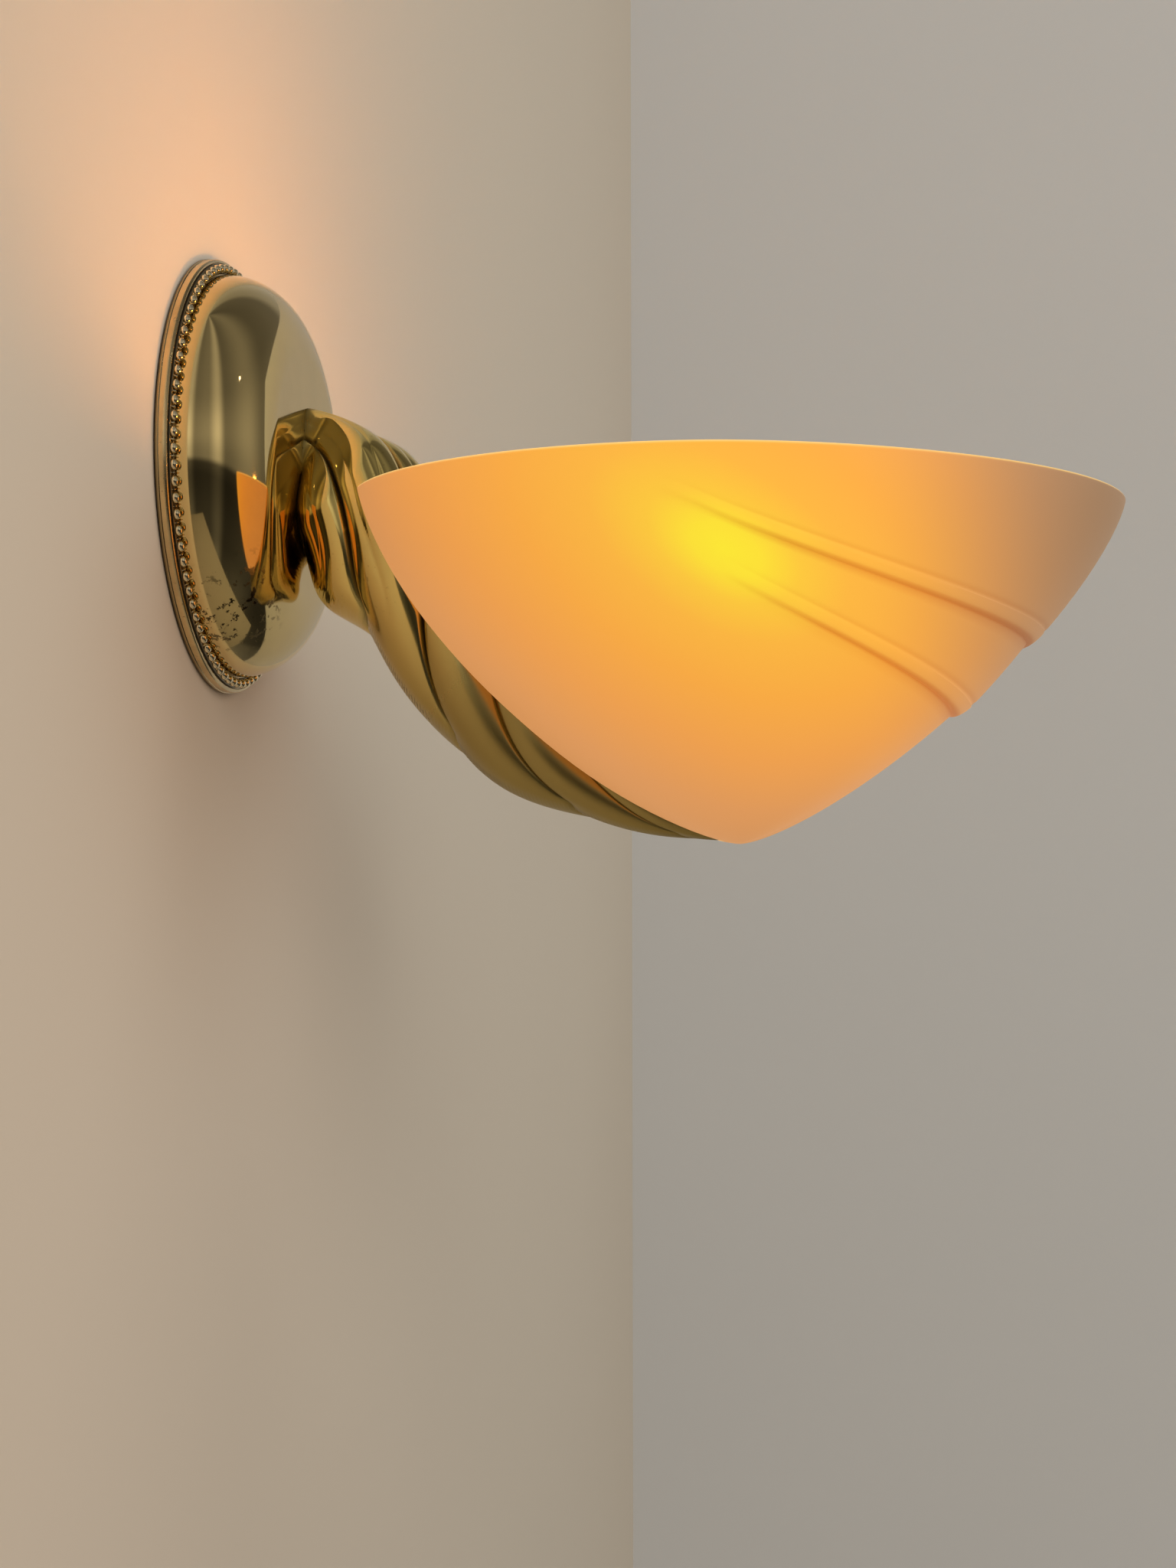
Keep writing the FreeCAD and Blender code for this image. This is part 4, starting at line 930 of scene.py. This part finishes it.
# Bulb: an opal golf ball on its threaded cap
bulb = {
    "neckLow": 41.0, "neckTop": 44.0, "neck": 7.3, "ballMiddle": 70.5, "ball": 22.5, "wall": 0.8, "hip": 8.2,
    "capLow": 23.7, "cap": 6.85, "threads": 5, "threadDepth": 0.45, "capSheet": 0.3, "capHole": 5.2,
    "capShoulder": (6.2, 5.9), "capInside": 4.9, "coneRise": 1.0, "threadRise": 1.5, "collar": 2.6,
    "plainLength": 5, "neckPoints": 9, "ballPoints": 30, "threadPoints": 6, "steps": 64, "capSteps": 48,
    "sharpFrom": 50, "capSharpFrom": 40,
}


def bulbCurve(inset):
    neck, ball, hip = bulb["neck"] - inset, bulb["ball"] - inset, bulb["hip"] + inset
    middle = bulb["ballMiddle"]
    lean = math.degrees(math.atan2(middle - bulb["neckTop"], -(neck + hip)))
    curve = [(neck, bulb["neckLow"])]
    curve += arcPoints((neck + hip, bulb["neckTop"]), hip, 180, lean, bulb["neckPoints"])
    curve += arcPoints((0, middle), ball, lean - 180, 90, bulb["ballPoints"])[1:]
    curve[-1] = (0, curve[-1][1])
    return curve


def makeBulb():
    outline = bulbCurve(bulb["wall"])[::-1] + bulbCurve(0)
    obj = spun("bulbGlass", holderAxis, outline, bulb["steps"])
    shadeSmooth(obj, bulb["sharpFrom"])
    finishPiece(obj, "bulbGlass", "opalBulb", "bulb", "bulb_glass", "bulb_glass")
    low, high, radius, depth = bulb["capLow"], bulb["neckLow"], bulb["cap"], bulb["threadDepth"]
    hole, (shoulder, innerShoulder), sheet = bulb["capHole"], bulb["capShoulder"], bulb["capSheet"]
    outer = [(hole, low), (shoulder, low), (radius - depth, low + bulb["coneRise"])]
    points = bulb["threadPoints"]
    pitch = (high - low - bulb["plainLength"]) / bulb["threads"]
    for k in range(bulb["threads"] * points + 1):
        wave = 0.5 + 0.5 * math.cos(math.tau * k / points)
        outer.append((radius - depth * wave, low + bulb["threadRise"] + k / points * pitch))
    outer += [(radius, high - bulb["collar"]), (radius, high)]
    inner = [(max(r - sheet - (depth if 0 < k < len(outer) - 2 else 0), bulb["capInside"]), h)
             for k, (r, h) in enumerate(outer)]
    inner[:2] = [(hole, low + sheet), (innerShoulder, low + sheet)]
    cap = spun("bulbCap", holderAxis, outer + inner[::-1], bulb["capSteps"])
    shadeSmooth(cap, bulb["capSharpFrom"])
    finishPiece(cap, "bulbCap", "capMetal", "bulb", "bulb_cap", "bulb_cap")


makeRim()
makeBeadRing()
makeDome()
makeHorn()
makeGlass()
makeBulb()

# Pieces that stay as the frame has them get their finishes
keptFinishes = {
    "zincSteel": ["wall_bracket", "earth_screw", "earth_washer", "block_screw", "shade_clamp_disc"],
    "plainBrass": ["centre_tube", "bracket_nuts", "dome_nut", "dome_washer", "earth_tag", "terminal_sleeves",
                   "shade_clamp_nut", "holder_tube"],
    "shellMetal": ["screw_shell", "centre_contact", "terminal_screws", "holder_terminals"],
    "holderBrass": ["holder_cap"],
    "softPad": ["shade_pad_lower", "shade_pad_upper"],
    "ceramic": ["holder_insert"],
    "sleeveCard": ["holder_sleeve"],
    "blockPlastic": ["terminal_block"],
    "brownWire": ["live_wire"], "blueWire": ["neutral_wire"], "earthWire": ["earth_wire"],
    "solder": ["bulb_tip"], "insulatorGlass": ["bulb_insulator"], "opalBulb": ["bulb_stem"],
    "leadMetal": ["bulb_leads", "bulb_filament"],
}
for finish, names in keptFinishes.items():
    for name in names:
        for place in nodes[name].material_slots:
            place.material = finishes[finish]
print("finishes on kept nodes")

# Room: a plain pale wall, a side wall and a floor; each shows from its front only
room = {   # in metres
    "wallColours": [(0.60, 0.51, 0.40), (0.57, 0.48, 0.38)],
    "sideColours": [(0.60, 0.60, 0.59), (0.57, 0.57, 0.56)],
    "floorColours": [(0.40, 0.36, 0.29), (0.40, 0.36, 0.30)], "grain": (350.0, 0.7, 1.0), "roughness": 0.7,
    "shine": 0.2, "bump": (0.05, 0.15), "left": -2.2, "corner": 0.84, "near": -0.9, "sideNear": -1.1,
    "sideLow": -0.72, "sideTop": 0.62, "top": 1.9, "floor": -1.35, "behind": 0.0004, "holeRadius": 0.060,
    "holeSides": 96,
}


def roomMaterial(name, colours):
    material, tree, surface = startMaterial(name)
    grain = grained(tree, *colours, *room["grain"])
    setInputs(tree, surface, {"Base Color": grain["Color"], "Roughness": room["roughness"],
                              "Specular IOR Level": room["shine"]})
    addBump(tree, surface, grain["Height"], *room["bump"])
    back = addNode(tree, "NewGeometry").outputs["Backfacing"]
    clear = addNode(tree, "BsdfTransparent")
    mixed = addNode(tree, "MixShader", {0: back, 1: surface.outputs[0], 2: clear.outputs[0]})
    tree.links.new(mixed.outputs[0], tree.nodes["Material Output"].inputs["Surface"])
    return material


def stagePlane(name, corners, colours):
    deselectAll()
    bpy.ops.mesh.primitive_plane_add(size=2)
    obj = newObject(name)
    for vertex, corner in zip(obj.data.vertices, corners):
        vertex.co = corner
    obj.data.materials.append(roomMaterial(name + "Paint", colours))
    return obj


left, right, back = room["left"], room["corner"], room["behind"]
low, high, near = room["floor"], room["top"], room["near"]
sideNear, sideLow, sideTop = room["sideNear"], room["sideLow"], room["sideTop"]
wall = stagePlane("wall", [(left, back, low), (right, back, low), (left, back, high), (right, back, high)],
                  room["wallColours"])
startEditing(wall)
bpy.ops.mesh.delete(type="ONLY_FACE")
bpy.ops.mesh.primitive_circle_add(vertices=room["holeSides"], radius=room["holeRadius"],
                                  location=(0, back, 0), rotation=(math.pi / 2, 0, 0))
bpy.ops.mesh.select_all(action="SELECT")
bpy.ops.mesh.fill()
bpy.ops.object.mode_set(mode="OBJECT")
if sum(face.normal.y * face.area for face in wall.data.polygons) > 0:
    startEditing(wall)
    bpy.ops.mesh.flip_normals()
    bpy.ops.object.mode_set(mode="OBJECT")
stagePlane("sideWall", [(right, back, sideLow), (right, sideNear, sideLow), (right, back, sideTop),
                        (right, sideNear, sideTop)], room["sideColours"])
stagePlane("floor", [(left, near, low), (right, near, low), (left, back, low), (right, back, low)],
           room["floorColours"])
print("room ready")

lamps = {   # place, aim and size in metres, watts, colour, seen in reflections
    "windowLight": [(-1.6, -1.5, 0.7), (-0.1, -0.1, -0.1), 1.3, 19.0, (1.0, 0.97, 0.93), False],
    "fillLight": [(0.3, -2.0, 0.2), (0.1, -0.1, -0.15), 1.4, 13.0, (0.82, 0.93, 1.0), False],
    "topLight": [(-0.2, -0.9, 1.7), (0.1, -0.1, -0.2), 1.2, 7.0, (1.0, 0.98, 0.96), False],
    "warmLight": [(-0.75, -0.60, -0.35), (-0.35, 0, -0.25), 0.5, 1.7, (1.0, 0.70, 0.45), False],
    "sparkLight": [(-0.10, -1.33, 0.94), (0, -0.1, -0.05), 0.025, 0.05, (1.0, 0.93, 0.80), True],
}
for name, (place, aim, size, watts, colour, reflected) in lamps.items():
    deselectAll()
    bpy.ops.object.light_add(type="AREA", location=place)
    lamp = newObject(name)
    lamp.data.shape = "SQUARE"
    lamp.data.size = size
    lamp.data.energy = watts
    lamp.data.color = colour
    lamp.rotation_euler = (Vector(aim) - Vector(place)).to_track_quat("-Z", "Y").to_euler()
    lamp.visible_glossy = reflected

# World: a soft room of bright windows, a dark band below the horizon and a mid grey ceiling
surroundings = {   # (share of the range, brightness): upwards from straight down, round from the wall's left
    "upwards": [(0.00, 0.22), (0.10, 0.16), (0.20, 0.11), (0.42, 0.07), (0.475, 0.10), (0.51, 0.58),
                (0.62, 0.80), (0.80, 0.50), (1.00, 0.45)],
    "round": [(0.00, 0.80), (0.19, 0.70), (0.22, 1.90), (0.255, 1.90), (0.285, 0.65), (0.34, 0.80),
              (0.385, 1.70), (0.42, 0.50), (0.52, 0.85), (0.60, 0.40), (0.68, 0.50), (0.71, 1.20),
              (0.76, 1.70), (1.00, 0.80)],
    "brightest": 2.0, "tint": (0.66, 0.63, 0.57), "strength": 0.75, "backdrop": (0.52, 0.51, 0.49),
}


def worldRamp(tree, share, stops):
    # Ramp colours end at 1, so brightness is stored as a share of the brightest.
    greys = [(stop, [value / surroundings["brightest"]] * 3) for stop, value in stops]
    return rampOf(tree, share, greys, "EASE")


world = bpy.data.worlds.new("plainRoom")
bpy.context.scene.world = world
world.use_nodes = True
tree = world.node_tree
background = tree.nodes["Background"]
parts = axesOf(tree, addNode(tree, "TexCoord").outputs["Generated"])
azimuth = calculate(tree, "ARCTAN2", parts["X"], calculate(tree, "MULTIPLY", parts["Y"], -1.0))
brightness = vectorMath(tree, "MULTIPLY",
                        worldRamp(tree, remap(tree, parts["Z"], -1.0, 1.0), surroundings["upwards"]),
                        worldRamp(tree, remap(tree, azimuth, -math.pi, math.pi), surroundings["round"]))
setInputs(tree, background, {
    "Color": vectorMath(tree, "MULTIPLY", brightness, surroundings["tint"]),
    "Strength": surroundings["brightest"] ** 2 * surroundings["strength"]})
plainBack = addNode(tree, "Background", {"Color": (*surroundings["backdrop"], 1), "Strength": 1.0})
seen = addNode(tree, "LightPath").outputs["Is Camera Ray"]
shown = addNode(tree, "MixShader", {0: seen, 1: background.outputs[0], 2: plainBack.outputs[0]})
tree.links.new(shown.outputs[0], tree.nodes["World Output"].inputs["Surface"])

camera = {"place": (-0.768, -0.230, -0.171), "turn": 9.06, "pitch": 5.9, "lens": 64.16, "sensor": 36.0}
bpy.ops.object.camera_add(location=camera["place"],
                          rotation=(math.radians(90 + camera["pitch"]), 0, math.radians(camera["turn"] - 90)))
view = bpy.context.object
view.data.lens = camera["lens"]
view.data.sensor_width = camera["sensor"]
bpy.context.scene.camera = view
bpy.context.scene.view_settings.view_transform = "Standard"
print("lamps and camera ready")
